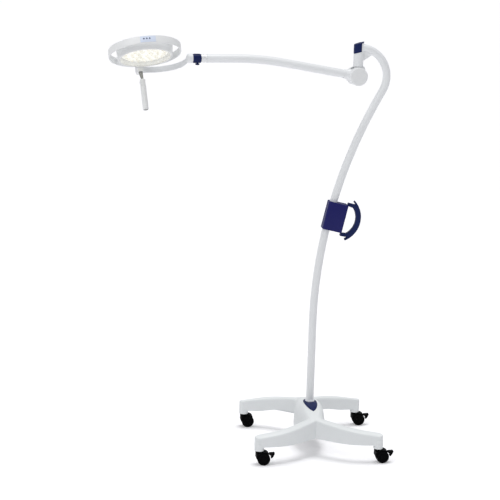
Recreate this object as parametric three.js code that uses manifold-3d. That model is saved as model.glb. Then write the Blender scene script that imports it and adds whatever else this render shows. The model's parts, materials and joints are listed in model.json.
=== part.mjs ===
// Mobile examination lamp: cross base on four twin-wheel casters, curved pole, balanced arm,
// one-sided yoke and a ring-framed LED head with a hanging handle.
// Millimetres, +Z up, +X to the right of the curved pole, +Y behind it. The pole bends in the XZ plane.
import * as THREE from "three";
import { mergeVertices } from "three/addons/utils/BufferGeometryUtils.js";
import Module from "manifold-3d";

const wasm = await Module();
wasm.setup();

// ---------- driving sizes ----------
const GAP = 0.3; // clearance between two pieces that touch
const RUN = 0.5; // running clearance at bearings

const CASTER_SPREAD = 272; // swivel axis from the centre, along X and along Y
const WHEEL_R = 29;
const WHEEL_W = 17;
const TRAIL = 20; // swivel axis to wheel axle
const BOSS_R = 22;
const BOSS_BOTTOM = 2 * WHEEL_R + 8;
const LEG_W = 45;
const LEG_BOTTOM = BOSS_BOTTOM + 18;
const LEG_TOP_MID = LEG_BOTTOM + 90; // height of the leg's top carried back to the centre
const LEG_FALL = 0.155; // drop of that top per millimetre outwards
const COVER_WALL = 5;
const HUB_HALF_W = 68.5;
const HUB_LENGTH = 176; // centre to the front end of the hub's ridge
const HUB_TOP = LEG_BOTTOM + 124;

const POLE_R = 17.5;
const POLE_WALL = 2.5;
const POLE_BOTTOM = LEG_BOTTOM + 16;
const POLE_STRAIGHT_TOP = 575;
const POLE_BEND_R = 2235;
const POLE_LEAN = THREE.MathUtils.degToRad(28.6);
const POLE_UPPER_RUN = 15;
const HOOK_R = 129.4;
const SLEEVE_R = 22.5;
const SLEEVE_BOTTOM = 1766;
const SLEEVE_TOP = 1867;
const SLEEVE_BORE_R = 16.5;
const SPINDLE_R = 12;
const CAP_SLANT = THREE.MathUtils.degToRad(17);
const CAP_HEIGHT = 40;

const BOX_W = 91;
const BOX_L = 129;
const BOX_D = 66;
const BOX_Z = 1089;
const BOX_SIDE = 23.5; // centre of the box beyond the pole's axis
const BOX_WALL = 3;
const GRIP_REACH = 77; // box side to the outermost point of the D grip
const GRIP_HALF = 94;
const GRIP_BULGE = 49.5; // back of the D beyond its tips
const GRIP_WEB = 23.3; // across the middle of the D
const GRIP_INNER_R = 81;
const GRIP_DROP = 4; // middle of the D below the box's middle
const GRIP_D = 22;

const KNUCKLE_Z = 1722;
const KNUCKLE_OUT = 5.5; // lift axis beyond the swivel's axis
const KNUCKLE_R = 41;
const KNUCKLE_L = 70;
const ARM_AZIMUTH = THREE.MathUtils.degToRad(188);
const ARM_RISE = THREE.MathUtils.degToRad(9.65);
const ARM_R = 19;
const ARM_WALL = 2.5;
const ARM_STRAIGHT = 346.5;
const ARM_BEND_R = 1303;
const ARM_END_RUN = 134;
const FERRULE_R = 16.5;
const FERRULE_L = 26;
const FRICTION_R = 20.5;
const FRICTION_L = 36;

const YOKE_BOSS_R = 20.5;
const YOKE_BOSS_L = 25;
const YOKE_REACH = 195; // yoke boss to the tilt axis
const YOKE_PIVOT = 161; // tilt pivot from the roll axis
const YOKE_BAND_H = 27;
const YOKE_BAND_T = 4;
const YOKE_ROLL = THREE.MathUtils.degToRad(24.8);
const HEAD_TILT = THREE.MathUtils.degToRad(2);

const RING_R = 157.3;
const RING_T = 5;
const RING_H = 32.5;
const RING_MID = 30.3; // middle of the ring above the tilt axis
const LENS_R = 111.5;
const LENS_T = 3;
const LENS_Z = 1.5;
const MOUTH_R = 117;
const HOUSING_H = 52;
const HOUSING_WALL = 3.5;
const HOUSING_FLARE = 6.5;
const HANDLE_R = 12.5;
const HANDLE_L = 199; // tilt axis to the free end of the grip
const HANDLE_OFF = 103; // grip's axis from the lamp's axis
const KEY_TRAVEL = 0.6;
const LATCH_TRAVEL = 1.5;

// ---------- helpers ----------
function paint(color, roughness, metalness) {
  return new THREE.MeshStandardMaterial({ color, roughness, metalness });
}

const WHITE = () => paint(0xe9ecee, 0.45, 0.0);
const NAVY = () => paint(0x20265c, 0.5, 0.0);
const BLACK = () => paint(0x141416, 0.55, 0.0);
const STEEL = () => paint(0xb4b8bc, 0.35, 0.9);

function solid(geometry) {
  const bare = geometry.index ? geometry.toNonIndexed() : geometry.clone();
  bare.deleteAttribute("normal");
  bare.deleteAttribute("uv");
  const merged = mergeVertices(bare, 1e-4);
  return new wasm.Manifold(
    new wasm.Mesh({
      numProp: 3,
      vertProperties: merged.attributes.position.array,
      triVerts: new Uint32Array(merged.index.array),
    }),
  );
}

function geometryOf(manifold) {
  const mesh = manifold.getMesh();
  const out = new THREE.BufferGeometry();
  out.setAttribute("position", new THREE.BufferAttribute(mesh.vertProperties, 3));
  out.setIndex(new THREE.BufferAttribute(mesh.triVerts, 1));
  out.computeVertexNormals();
  return out;
}

function union(list) {
  return list.reduce((all, next) => all.add(next));
}

// Solid of revolution about Z from [radius, height] pairs, listed from the bottom outwards and up.
function turned(profile, segments = 24) {
  const points = profile.map(([r, z]) => new THREE.Vector2(r, z));
  return new THREE.LatheGeometry(points, segments).rotateX(Math.PI / 2);
}

// Plain round bar between two heights.
function bar(radius, z0, z1, segments = 24) {
  return turned([[0, z0], [radius, z0], [radius, z1], [0, z1]], segments);
}

// Round bar with a through hole between two heights.
function pipe(outer, inner, z0, z1, segments = 24) {
  return turned([[inner, z0], [outer, z0], [outer, z1], [inner, z1], [inner, z0]], segments);
}

function block(sx, sy, sz, x = 0, y = 0, z = 0) {
  return new THREE.BoxGeometry(sx, sy, sz).translate(x, y, z);
}

function shapeOf(points) {
  return new THREE.Shape(points.map(([x, y]) => new THREE.Vector2(x, y)));
}

// Plate of a given outline in XY, from z0 up to z1.
function plate(shape, z0, z1, curveSegments = 12) {
  const settings = { depth: z1 - z0, bevelEnabled: false, curveSegments };
  return new THREE.ExtrudeGeometry(shape, settings).translate(0, 0, z0);
}

// Outline given in the XZ plane, running from y0 to y1.
function slab(points, y0, y1) {
  return plate(shapeOf(points), -y1, -y0).rotateX(Math.PI / 2);
}

function roundShape(radius, segments = 24) {
  const shape = new THREE.Shape();
  for (let i = 0; i < segments; i++) {
    const angle = (2 * Math.PI * i) / segments;
    const [x, y] = [radius * Math.cos(angle), radius * Math.sin(angle)];
    if (i === 0) shape.moveTo(x, y);
    else shape.lineTo(x, y);
  }
  return shape;
}

// Path through a list of points, one step of an extrusion to each.
class PointPath extends THREE.Curve {
  constructor(points) {
    super();
    this.points = points;
  }

  getPoint(t) {
    const last = this.points.length - 1;
    const place = t * last;
    const index = Math.min(Math.floor(place), last - 1);
    return this.points[index].clone().lerp(this.points[index + 1], place - index);
  }

  getPointAt(u) {
    return this.getPoint(u);
  }

  getTangentAt(u) {
    const last = this.points.length - 1;
    const index = Math.round(u * last);
    const ahead = this.points[Math.min(index + 1, last)];
    const behind = this.points[Math.max(index - 1, 0)];
    return ahead.clone().sub(behind).normalize();
  }
}

// Round bar, or pipe where `inner` is not zero, along a list of points.
function alongPoints(points, outer, inner, segments) {
  const section = roundShape(outer, segments);
  if (inner > 0) section.holes.push(roundShape(inner, segments));
  const extrudePath = new PointPath(points);
  return new THREE.ExtrudeGeometry(section, { steps: points.length - 1, bevelEnabled: false, extrudePath });
}

function node(parent, name, made, material) {
  const geometry = made.isBufferGeometry ? made : geometryOf(made);
  const mesh = new THREE.Mesh(geometry, material);
  mesh.name = name;
  parent.add(mesh);
  return mesh;
}

function group(parent, name, position = [0, 0, 0]) {
  const made = new THREE.Group();
  made.name = name;
  made.position.set(...position);
  parent.add(made);
  return made;
}

const lamp = new THREE.Group();
lamp.name = "examination_lamp";

// ---------- base ----------
// Middle line of the leg in the quarter where X and Y are positive.
const LEG_LINE = [
  [-12, 147],
  [40, 182],
  [80, 208],
  [120, 236],
  [150, 252],
  [182, 261],
  [225, 266],
  [CASTER_SPREAD, 269],
];

// Outline of one leg in plan, drawn in by `inset` all round.
function legOutline(sx, sy, inset) {
  const line = LEG_LINE.map(([x, y]) => new THREE.Vector2(x, y));
  const half = LEG_W / 2 - inset;
  const outer = [];
  const inner = [];
  line.forEach((p, i) => {
    const along = line[Math.min(i + 1, line.length - 1)].clone().sub(line[Math.max(i - 1, 0)]).normalize();
    const normal = new THREE.Vector2(-along.y, along.x);
    outer.push(p.clone().addScaledVector(normal, half));
    inner.push(p.clone().addScaledVector(normal, -half));
  });
  const end = line[line.length - 1];
  const tip = [];
  for (let i = 1; i < 6; i++) {
    const angle = Math.PI / 2 - (Math.PI * i) / 6;
    tip.push(new THREE.Vector2(end.x + half * Math.cos(angle), end.y + half * Math.sin(angle)));
  }
  const outline = [...outer, ...tip, ...inner.reverse()];
  return new THREE.Shape(outline.map((p) => new THREE.Vector2(sx * p.x, sy * p.y)));
}

// Outline of the hub in plan: a long oval boss round the pole, between the two pairs of legs.
function hubOutline(inset) {
  const half = HUB_HALF_W - inset;
  const quarter = [
    [half, 0],
    [half - 2, 36],
    [half - 8, 70],
    [half - 17, 105],
    [half - 26, 140],
    [half - 38, HUB_LENGTH - 11 - inset],
    [0, HUB_LENGTH - inset],
  ];
  const ring = [...quarter];
  quarter.slice(0, -1).reverse().forEach(([x, y]) => ring.push([-x, y]));
  quarter.slice(1).forEach(([x, y]) => ring.push([-x, -y]));
  quarter.slice(1, -1).reverse().forEach(([x, y]) => ring.push([x, -y]));
  return shapeOf(ring);
}

// Roof of the hub: high along Y, rounded down to both side openings.
function hubRoof(drop) {
  const across = [
    [0, HUB_TOP - drop],
    [24, HUB_TOP - 1 - drop],
    [42, HUB_TOP - 6 - drop],
    [55, HUB_TOP - 17 - drop],
    [65, HUB_TOP - 36 - drop],
    [73, HUB_TOP - 50 - drop],
    [130, HUB_TOP - 56 - drop],
    [130, 0],
  ];
  const alongY = [
    [0, HUB_TOP - drop],
    [32, HUB_TOP - 2 - drop],
    [70, HUB_TOP - 9 - drop],
    [107, HUB_TOP - 19 - drop],
    [HUB_LENGTH + 6, HUB_TOP - 38 - drop],
    [240, HUB_TOP - 56 - drop],
    [240, 0],
  ];
  const mirrored = (half) => [...half, ...half.slice(1).reverse().map(([x, z]) => [-x, z])];
  const acrossSolid = solid(slab(mirrored(across), -260, 260));
  const alongSolid = solid(slab(mirrored(alongY), -160, 160).rotateZ(Math.PI / 2));
  return acrossSolid.intersect(alongSolid);
}

function baseBody(inset, drop, bottom) {
  const roofAt = (x) => LEG_TOP_MID - drop - LEG_FALL * x;
  const legRoof = solid(slab([[0, bottom], [0, roofAt(0)], [320, roofAt(320)], [320, bottom]], -320, 320));
  const legs = [1, -1].flatMap((sx) => {
    const roof = sx > 0 ? legRoof : legRoof.rotate([0, 0, 180]);
    return [1, -1].map((sy) => solid(plate(legOutline(sx, sy, inset), bottom, 300)).intersect(roof));
  });
  const hub = solid(plate(hubOutline(inset), bottom, 300)).intersect(hubRoof(drop));
  return union([hub, ...legs]);
}

const CORNERS = [
  ["front_left", -1, -1, true],
  ["front_right", 1, -1, true],
  ["back_right", 1, 1, true],
  ["back_left", -1, 1, false],
];
const STEM_R = 5.5;
const STEM_TOP = BOSS_BOTTOM + 38;
const SOCKET_R = POLE_R + 9.5;

const base = group(lamp, "base");
const bossTop = LEG_TOP_MID - LEG_FALL * (CASTER_SPREAD + BOSS_R) - 1;
const boss = (x, y) => solid(bar(BOSS_R, BOSS_BOTTOM, bossTop - COVER_WALL + 1, 24).translate(x, y, 0));
const stemHole = (x, y) => solid(bar(STEM_R + GAP, 0, STEM_TOP + 2, 12).translate(x, y, 0));
const castingShell = baseBody(0, 0, LEG_BOTTOM).subtract(baseBody(COVER_WALL, COVER_WALL, 0));
// The walls between the legs stop higher than the outer ones, in an arch towards the hub.
const archFoot = LEG_BOTTOM - 44;
const archSide = [
  [58, archFoot],
  [58, LEG_BOTTOM + 20],
  [120, LEG_BOTTOM + 14],
  [220, LEG_BOTTOM],
  [220, archFoot],
];
const archPlan = [[40, 110], [58, 168], [90, 200], [140, 232], [220, 252], [220, 110]];
const archColumn = solid(plate(shapeOf(archPlan), archFoot, LEG_BOTTOM + 56));
const arch = solid(slab(archSide, 100, 260)).intersect(archColumn);
const castingSocket = solid(bar(SOCKET_R, LEG_BOTTOM, HUB_TOP - 4, 24));
let casting = castingShell.add(castingSocket);
CORNERS.forEach(([, sx, sy]) => {
  const archAcross = sx < 0 ? arch.mirror([1, 0, 0]) : arch;
  casting = casting.subtract(sy < 0 ? archAcross.mirror([0, 1, 0]) : archAcross);
  casting = casting.add(boss(sx * CASTER_SPREAD, sy * CASTER_SPREAD));
});
CORNERS.forEach(([, sx, sy]) => {
  casting = casting.subtract(stemHole(sx * CASTER_SPREAD, sy * CASTER_SPREAD));
});
casting = casting.subtract(solid(bar(POLE_R + GAP, POLE_BOTTOM - GAP, 400, 32)));
casting = casting.subtract(solid(bar(6.5, 0, POLE_BOTTOM, 16)));
node(base, "base_casting", casting, WHITE());

// Steel weight under the hub, held up against the socket by the pole's bolt.
const BALLAST_TOP = LEG_BOTTOM - GAP;
const BALLAST_T = 14;
const ballast = solid(block(84, 210, BALLAST_T, 0, 0, BALLAST_TOP - BALLAST_T / 2));
const ballastHole = solid(bar(7, 0, 200, 20));
node(base, "ballast_plate", ballast.subtract(ballastHole), STEEL());
const boltSeat = BALLAST_TOP - BALLAST_T - GAP;
const boltFoot = boltSeat - 8;
const boltTip = POLE_BOTTOM + 18;
const boltHead = turned(
  [
    [0, boltFoot],
    [12, boltFoot],
    [12, boltSeat],
    [6, boltSeat],
    [6, boltTip],
    [0, boltTip],
  ],
  6,
);
node(base, "pole_bolt", boltHead, STEEL());

// Shield-shaped trim that lies on the hub's ridge round the foot of the pole.
function shieldOutline() {
  const half = [
    [0, -107],
    [12, -82],
    [22, -54],
    [29, -28],
    [31.5, -4],
    [29, 18],
    [20, 35],
    [9, 38],
    [0, 31],
  ];
  return shapeOf([...half, ...half.slice(1, -1).reverse().map(([x, y]) => [-x, y])]);
}
const TRIM_T = 4;
const trimSkin = hubRoof(-TRIM_T).subtract(hubRoof(-GAP));
const COLLAR_R = 22;
const trim = solid(plate(shieldOutline(), 120, 260)).intersect(trimSkin);
node(base, "hub_trim", trim.subtract(solid(bar(COLLAR_R + GAP, 0, 300, 32))), NAVY());
const collarFoot = HUB_TOP + GAP + 0.2;
node(base, "pole_collar", pipe(COLLAR_R, POLE_R + GAP, collarFoot, collarFoot + 9, 28), WHITE());

// ---------- casters ----------
const HOOD_R = WHEEL_R + 4.5;
const HOOD_W = 2 * WHEEL_W + 12;
const PLATE_T = 9;
const NECK_R = 13;
const PEDAL_PIN = [TRAIL + WHEEL_R - 0.5, WHEEL_R + 19];
const PEDAL_W = 24;

function arc(cx, cz, radius, from, to, count) {
  const points = [];
  for (let i = 0; i <= count; i++) {
    const angle = THREE.MathUtils.degToRad(from + ((to - from) * i) / count);
    points.push([cx + radius * Math.cos(angle), cz + radius * Math.sin(angle)]);
  }
  return points;
}

function casterHood() {
  const canopy = [
    ...arc(TRAIL, WHEEL_R, HOOD_R, 48, 128, 6),
    [TRAIL - WHEEL_R - 5, BOSS_BOTTOM - 8],
    [TRAIL - WHEEL_R - 5, WHEEL_R + 2],
    [TRAIL - WHEEL_R - 2.5, WHEEL_R + 2],
    ...arc(TRAIL, WHEEL_R, WHEEL_R + 1.5, 172, 48, 8),
  ];
  const plateShape = [
    ...arc(TRAIL, WHEEL_R, HOOD_R - 1, 46, 150, 6),
    [TRAIL - WHEEL_R - 4, WHEEL_R + 6],
    [TRAIL - 16, WHEEL_R - 12],
    [TRAIL + 6, WHEEL_R - 13],
    [TRAIL + 16, WHEEL_R - 6],
    [TRAIL + 22, WHEEL_R + 10],
  ];
  const neck = solid(bar(NECK_R, WHEEL_R + 26, BOSS_BOTTOM - RUN, 20));
  const bodyShape = solid(slab(canopy, -HOOD_W / 2, HOOD_W / 2));
  const middle = solid(slab(plateShape, -PLATE_T / 2, PLATE_T / 2));
  const onAxle = (radius, segments) =>
    solid(bar(radius, -40, 40, segments).rotateX(Math.PI / 2).translate(TRAIL, 0, WHEEL_R));
  const wheelRoom = onAxle(WHEEL_R + 1.5, 24);
  const axleHole = onAxle(4 + GAP, 12);
  const stemBore = solid(bar(STEM_R + GAP, WHEEL_R + 30, 200, 12));
  return neck.subtract(wheelRoom).add(bodyShape).add(middle).subtract(axleHole).subtract(stemBore);
}

function casterWheels() {
  const inner = PLATE_T / 2 + 1;
  const outer = inner + WHEEL_W;
  const half = [
    [WHEEL_R, inner],
    [WHEEL_R, outer - 2],
    [WHEEL_R - 3, outer],
    [WHEEL_R - 8, outer],
    [WHEEL_R - 9.5, outer - 2.5],
    [0, outer - 2.5],
  ];
  const mirrored = half.slice().reverse().map(([r, z]) => [r, -z]);
  const profile = [...mirrored, [4, -inner], [4, inner], ...half];
  return turned(profile, 20).rotateX(Math.PI / 2).translate(TRAIL, 0, WHEEL_R);
}

function casterPedal() {
  const [px, pz] = PEDAL_PIN;
  const side = [
    ...arc(px, pz, 4.6, 200, 60, 5),
    [px + 6, pz + 5.5],
    [px + 22, pz + 6.5],
    [px + 20, pz - 1],
    [px + 14, pz - 12],
    [px + 8, pz - 18.5],
    [px + 5, pz - 17],
    [px + 8, pz - 9],
    [px + 9, pz - 3],
    [px + 3, pz - 4],
  ];
  return slab(side, -PEDAL_W / 2, PEDAL_W / 2);
}

CORNERS.forEach(([corner, sx, sy, braked]) => {
  const caster = group(base, `caster_${corner}`, [sx * CASTER_SPREAD, sy * CASTER_SPREAD, 0]);
  const stemFoot = WHEEL_R + 30.5;
  const stem = turned([[0, stemFoot], [STEM_R, stemFoot], [STEM_R, STEM_TOP], [0, STEM_TOP]], 12);
  node(caster, `caster_stem_${corner}`, stem, STEEL());
  node(caster, `caster_hood_${corner}`, casterHood(), BLACK());
  node(caster, `caster_wheels_${corner}`, casterWheels(), BLACK());
  if (braked) node(caster, `brake_pedal_${corner}`, casterPedal(), BLACK());
});

// ---------- pole ----------
function poleLine() {
  const points = [new THREE.Vector3(0, 0, POLE_BOTTOM), new THREE.Vector3(0, 0, POLE_STRAIGHT_TOP)];
  const steps = 9;
  for (let i = 1; i <= steps; i++) {
    const angle = (POLE_LEAN * i) / steps;
    const x = POLE_BEND_R * (1 - Math.cos(angle));
    points.push(new THREE.Vector3(x, 0, POLE_STRAIGHT_TOP + POLE_BEND_R * Math.sin(angle)));
  }
  const bendEnd = points[points.length - 1];
  const along = new THREE.Vector3(Math.sin(POLE_LEAN), 0, Math.cos(POLE_LEAN));
  const hookStart = bendEnd.clone().addScaledVector(along, POLE_UPPER_RUN);
  const centre = hookStart.clone().addScaledVector(new THREE.Vector3(-along.z, 0, along.x), HOOK_R);
  const turn = Math.PI / 2 + POLE_LEAN + 0.1;
  const hookSteps = 11;
  for (let i = 0; i <= hookSteps; i++) {
    const angle = -POLE_LEAN + (turn * i) / hookSteps;
    points.push(
      new THREE.Vector3(centre.x + HOOK_R * Math.cos(angle), 0, centre.z + HOOK_R * Math.sin(angle)),
    );
  }
  return { points, centre };
}

const { points: POLE_POINTS, centre: HOOK_CENTRE } = poleLine();
const SWIVEL_X = HOOK_CENTRE.x - 2.5; // vertical swivel axis, just short of the hook's centre

// Where the pole's axis stands, and how far it leans, at a given height of the long bend.
function poleAt(z) {
  const angle = Math.asin(Math.max(0, z - POLE_STRAIGHT_TOP) / POLE_BEND_R);
  return { x: POLE_BEND_R * (1 - Math.cos(angle)), lean: angle };
}

const pole = group(lamp, "pole");
const sleeveClear = solid(bar(SLEEVE_R + GAP, SLEEVE_BOTTOM - 5, 2000, 32).translate(SWIVEL_X, 0, 0));
const poleTube = solid(alongPoints(POLE_POINTS, POLE_R, POLE_R - POLE_WALL, 20)).subtract(sleeveClear);
// The tube runs on past the sleeve's axis before it is coped; only the length outside the sleeve stays.
const beyondSleeve = solid(block(200, 200, 400, SWIVEL_X - 100, 0, SLEEVE_TOP));
node(pole, "pole_tube", poleTube.subtract(beyondSleeve), WHITE());

// Slanting cut across the swivel axis, rising towards the hook.
function slantedSlab(zLow, zHigh) {
  const rise = 60 * Math.tan(CAP_SLANT);
  const outline = [[-60, zLow - rise], [60, zLow + rise], [60, zHigh + rise], [-60, zHigh - rise]];
  return solid(slab(outline, -60, 60).translate(SWIVEL_X, 0, 0));
}

const CAP_TOP = SLEEVE_TOP + 2;
const CAP_FOOT = CAP_TOP - CAP_HEIGHT;
const SADDLE_X = 10; // the sleeve stays full height on the hook's side of this line
const LID_T = 3.5;
const saddleSide = solid(block(60, 120, 400, SWIVEL_X + SADDLE_X + 30, 0, SLEEVE_TOP));
const sleeveBar = solid(bar(SLEEVE_R, SLEEVE_BOTTOM, 1900, 32).translate(SWIVEL_X, 0, 0));
const lowPart = sleeveBar.intersect(slantedSlab(1700, CAP_FOOT - GAP));
const highPart = sleeveBar.intersect(slantedSlab(1700, CAP_TOP - LID_T - GAP)).intersect(saddleSide);
const webOutline = [
  [SLEEVE_R - 3, 1786],
  [SLEEVE_R + 2, 1794],
  [72, 1822],
  [72, 1846],
  [SLEEVE_R - 3, 1846],
];
const tubeRoom = solid(alongPoints(POLE_POINTS, POLE_R + GAP, 0, 24));
const webPlate = solid(slab(webOutline, -4, 4).translate(SWIVEL_X, 0, 0)).subtract(tubeRoom);
const spindleRoom = solid(bar(SLEEVE_BORE_R, 1700, 1852, 28).translate(SWIVEL_X, 0, 0));
const sleeve = lowPart.add(highPart).add(webPlate).subtract(spindleRoom);
node(pole, "swivel_sleeve", sleeve, WHITE());

const capBar = solid(bar(SLEEVE_R + 0.6, 1780, 1930, 32).translate(SWIVEL_X, 0, 0));
const capBand = capBar.intersect(slantedSlab(CAP_FOOT, CAP_TOP)).subtract(
  solid(block(60, 120, 400, SWIVEL_X + SADDLE_X - GAP + 30, 0, SLEEVE_TOP)),
);
const capHollow = solid(bar(SLEEVE_BORE_R + 2, 1700, 1852, 28).translate(SWIVEL_X, 0, 0));
const capLid = capBar.intersect(slantedSlab(CAP_TOP - LID_T, CAP_TOP));
const capKeep = capBand.subtract(capHollow).add(capLid).subtract(tubeRoom);
node(pole, "sleeve_cap", capKeep, NAVY());

const BUSH_L = 26;
const bush = (z) => pipe(SLEEVE_BORE_R - GAP, SPINDLE_R + GAP, z, z + BUSH_L, 20).translate(SWIVEL_X, 0, 0);
node(pole, "swivel_bush_lower", bush(SLEEVE_BOTTOM + 0.5), BLACK());
node(pole, "swivel_bush_upper", bush(SLEEVE_BOTTOM + 52), BLACK());

// ---------- supply box on the pole ----------
const boxAt = poleAt(BOX_Z);
const boxTilt = boxAt.lean - THREE.MathUtils.degToRad(0.8);
const supply = group(lamp, "supply_box", [boxAt.x, 0, BOX_Z]);
supply.rotation.y = boxTilt;

function roundedOutline(x0, x1, z0, z1, radii) {
  const [bl, br, tr, tl] = radii;
  const corner = (cx, cz, r, from) => arc(cx, cz, r, from, from + 90, 5);
  return [
    ...corner(x0 + bl, z0 + bl, bl, 180),
    ...corner(x1 - br, z0 + br, br, 270),
    ...corner(x1 - tr, z1 - tr, tr, 0),
    ...corner(x0 + tl, z1 - tl, tl, 90),
  ];
}

const BOX_X0 = BOX_SIDE - BOX_W / 2;
const BOX_X1 = BOX_SIDE + BOX_W / 2;
const boxOutline = roundedOutline(BOX_X0, BOX_X1, -BOX_L / 2, BOX_L / 2, [7, 5, 5, 7]);
const boxInner = roundedOutline(
  BOX_X0 + BOX_WALL,
  BOX_X1 - BOX_WALL,
  -BOX_L / 2 + BOX_WALL,
  BOX_L / 2 - BOX_WALL,
  [4, 3, 3, 4],
);
const toPoleFrame = new THREE.Matrix4()
  .makeTranslation(boxAt.x, 0, BOX_Z)
  .multiply(new THREE.Matrix4().makeRotationY(boxTilt))
  .invert();
const poleRoomInBox = solid(
  alongPoints(POLE_POINTS.slice(0, 9), POLE_R + GAP, 0, 24).applyMatrix4(toPoleFrame),
);
const boxHalf = (from, to, cavityFrom, cavityTo) =>
  solid(slab(boxOutline, from, to)).subtract(solid(slab(boxInner, cavityFrom, cavityTo)));
const INLET_X = BOX_X1 - 21;
const inletHole = solid(block(27.6, 20.6, 40, INLET_X, -15, -BOX_L / 2));
const saddle = (y0, y1) => solid(slab([[-26, -14], [26, -14], [26, 14], [-26, 14]], y0, y1));
const boxFront = boxHalf(-BOX_D / 2, -GAP / 2, -BOX_D / 2 + BOX_WALL, 20)
  .add(saddle(-BOX_D / 2 + 1, -GAP / 2))
  .subtract(poleRoomInBox)
  .subtract(inletHole);
const boxBack = boxHalf(GAP / 2, BOX_D / 2, -20, BOX_D / 2 - BOX_WALL)
  .add(saddle(GAP / 2, BOX_D / 2 - 1))
  .subtract(poleRoomInBox);
node(supply, "box_front", boxFront, NAVY());
node(supply, "box_back", boxBack, NAVY());
const inlet = solid(block(27, 20, 16, INLET_X, -15, -BOX_L / 2 + 6.8)).subtract(
  solid(block(21, 14, 14, INLET_X, -15, -BOX_L / 2 + 4)),
);
node(supply, "mains_inlet", inlet, BLACK());
node(supply, "power_supply", block(34, 30, 66, 46, -14, 12), paint(0x8a8d90, 0.5, 0.6));

// D-shaped grip; its overhanging tips hold the coiled supply lead.
function gripOutline() {
  const outerR = (GRIP_HALF ** 2 + GRIP_BULGE ** 2) / (2 * GRIP_BULGE);
  const outerX = BOX_X1 + GRIP_REACH - outerR;
  const outerHalf = THREE.MathUtils.radToDeg(Math.asin(GRIP_HALF / outerR));
  const innerX = BOX_X1 + GRIP_REACH - GRIP_WEB - GRIP_INNER_R;
  const foot = BOX_X1 + GAP;
  const top = BOX_L / 2 + 9.5;
  const bottom = -BOX_L / 2 - 17.5;
  return [
    ...arc(outerX, -GRIP_DROP, outerR, -outerHalf, outerHalf, 16),
    ...arc(outerX, -GRIP_DROP, outerR - 8, outerHalf - 1, outerHalf - 9, 2),
    [foot, top],
    [foot, top - 14],
    ...arc(innerX, -GRIP_DROP, GRIP_INNER_R, 48, -48, 14),
    [foot, bottom + 14],
    [foot, bottom],
    ...arc(outerX, -GRIP_DROP, outerR - 8, -outerHalf + 9, -outerHalf + 1, 2),
  ];
}
node(supply, "pole_grip", slab(gripOutline(), -GRIP_D / 2, GRIP_D / 2), NAVY());

// ---------- arm ----------
const swing = group(lamp, "arm_swing", [SWIVEL_X, 0, KNUCKLE_Z]);
swing.rotation.z = ARM_AZIMUTH;

const SLOT_W = 27;
const EYE_R = 24;
const PIN_R = 7;
const onBarrel = (geometry) => geometry.rotateX(Math.PI / 2);
const LUG_HALF = 11;
const lugOutline = [[-LUG_HALF, 0], [LUG_HALF, 0], [LUG_HALF, 44], [-LUG_HALF, 44]];
const lug = solid(slab(lugOutline, -SLOT_W / 2 + RUN, SLOT_W / 2 - RUN).translate(KNUCKLE_OUT, 0, 0));
const eye = solid(
  onBarrel(bar(EYE_R, -SLOT_W / 2 + RUN, SLOT_W / 2 - RUN, 20)).translate(KNUCKLE_OUT, 0, 0),
);
const neckFoot = KNUCKLE_R + 0.8;
const neckTop = SLEEVE_BOTTOM - KNUCKLE_Z - RUN;
const spindleTop = 1846 - KNUCKLE_Z;
const neck = solid(
  turned(
    [
      [0, neckFoot],
      [SLEEVE_R, neckFoot],
      [SLEEVE_R, neckTop],
      [SPINDLE_R, neckTop],
      [SPINDLE_R, spindleTop],
      [0, spindleTop],
    ],
    32,
  ),
);
const pinHole = solid(onBarrel(bar(PIN_R + GAP, -60, 60, 20)));
const spindle = neck.add(lug).add(eye).subtract(pinHole.translate(KNUCKLE_OUT, 0, 0));
node(swing, "swivel_spindle", spindle, WHITE());

const lift = group(swing, "arm_lift", [KNUCKLE_OUT, 0, 0]);
lift.rotation.y = -ARM_RISE;

function wedgeSlot() {
  const reach = KNUCKLE_R + 12;
  const points = [[0, 0], ...arc(0, 0, reach, 25, 146, 10)];
  return solid(slab(points, -SLOT_W / 2, SLOT_W / 2));
}
const drum = solid(onBarrel(bar(KNUCKLE_R, -KNUCKLE_L / 2, KNUCKLE_L / 2, 32)));
const drumNeckProfile = [[0, 20], [30, 20], [26, 44], [ARM_R + 1.5, 56], [ARM_R + 1.5, 62], [0, 62]];
const drumNeck = solid(turned(drumNeckProfile, 28).rotateY(Math.PI / 2));
const tubeSpigot = solid(bar(ARM_R - ARM_WALL - 2 * GAP, 58, 84, 20).rotateY(Math.PI / 2));
const eyeRoom = solid(onBarrel(bar(EYE_R + RUN + 0.3, -SLOT_W / 2, SLOT_W / 2, 20)));
const coverRecess = (y0, y1) => solid(onBarrel(bar(34, -y1, -y0, 28)));
const COVER_T = 9;
const housing = drum
  .add(drumNeck)
  .add(tubeSpigot)
  .subtract(eyeRoom)
  .subtract(wedgeSlot())
  .subtract(coverRecess(KNUCKLE_L / 2 - 4, 60))
  .subtract(coverRecess(-60, -KNUCKLE_L / 2 + 4))
  .subtract(pinHole);
node(lift, "knuckle_housing", housing, WHITE());
const PIN_HALF = KNUCKLE_L / 2 - 5;
node(lift, "hinge_pin", onBarrel(bar(PIN_R, -PIN_HALF, PIN_HALF, 20)), STEEL());
function knuckleCover(side) {
  const inner = KNUCKLE_L / 2 - 4 + GAP;
  const profile = [
    [0, inner],
    [34 - GAP, inner],
    [34 - GAP, inner + 4],
    [KNUCKLE_R - 0.6, inner + 4.2],
    [KNUCKLE_R - 0.6, inner + 6],
    [KNUCKLE_R - 5, inner + COVER_T],
    [0, inner + COVER_T],
  ];
  const cover = turned(profile, 28);
  return cover.rotateX(side > 0 ? -Math.PI / 2 : Math.PI / 2);
}
node(lift, "knuckle_cover_front", knuckleCover(1), WHITE());
node(lift, "knuckle_cover_rear", knuckleCover(-1), WHITE());

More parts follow.
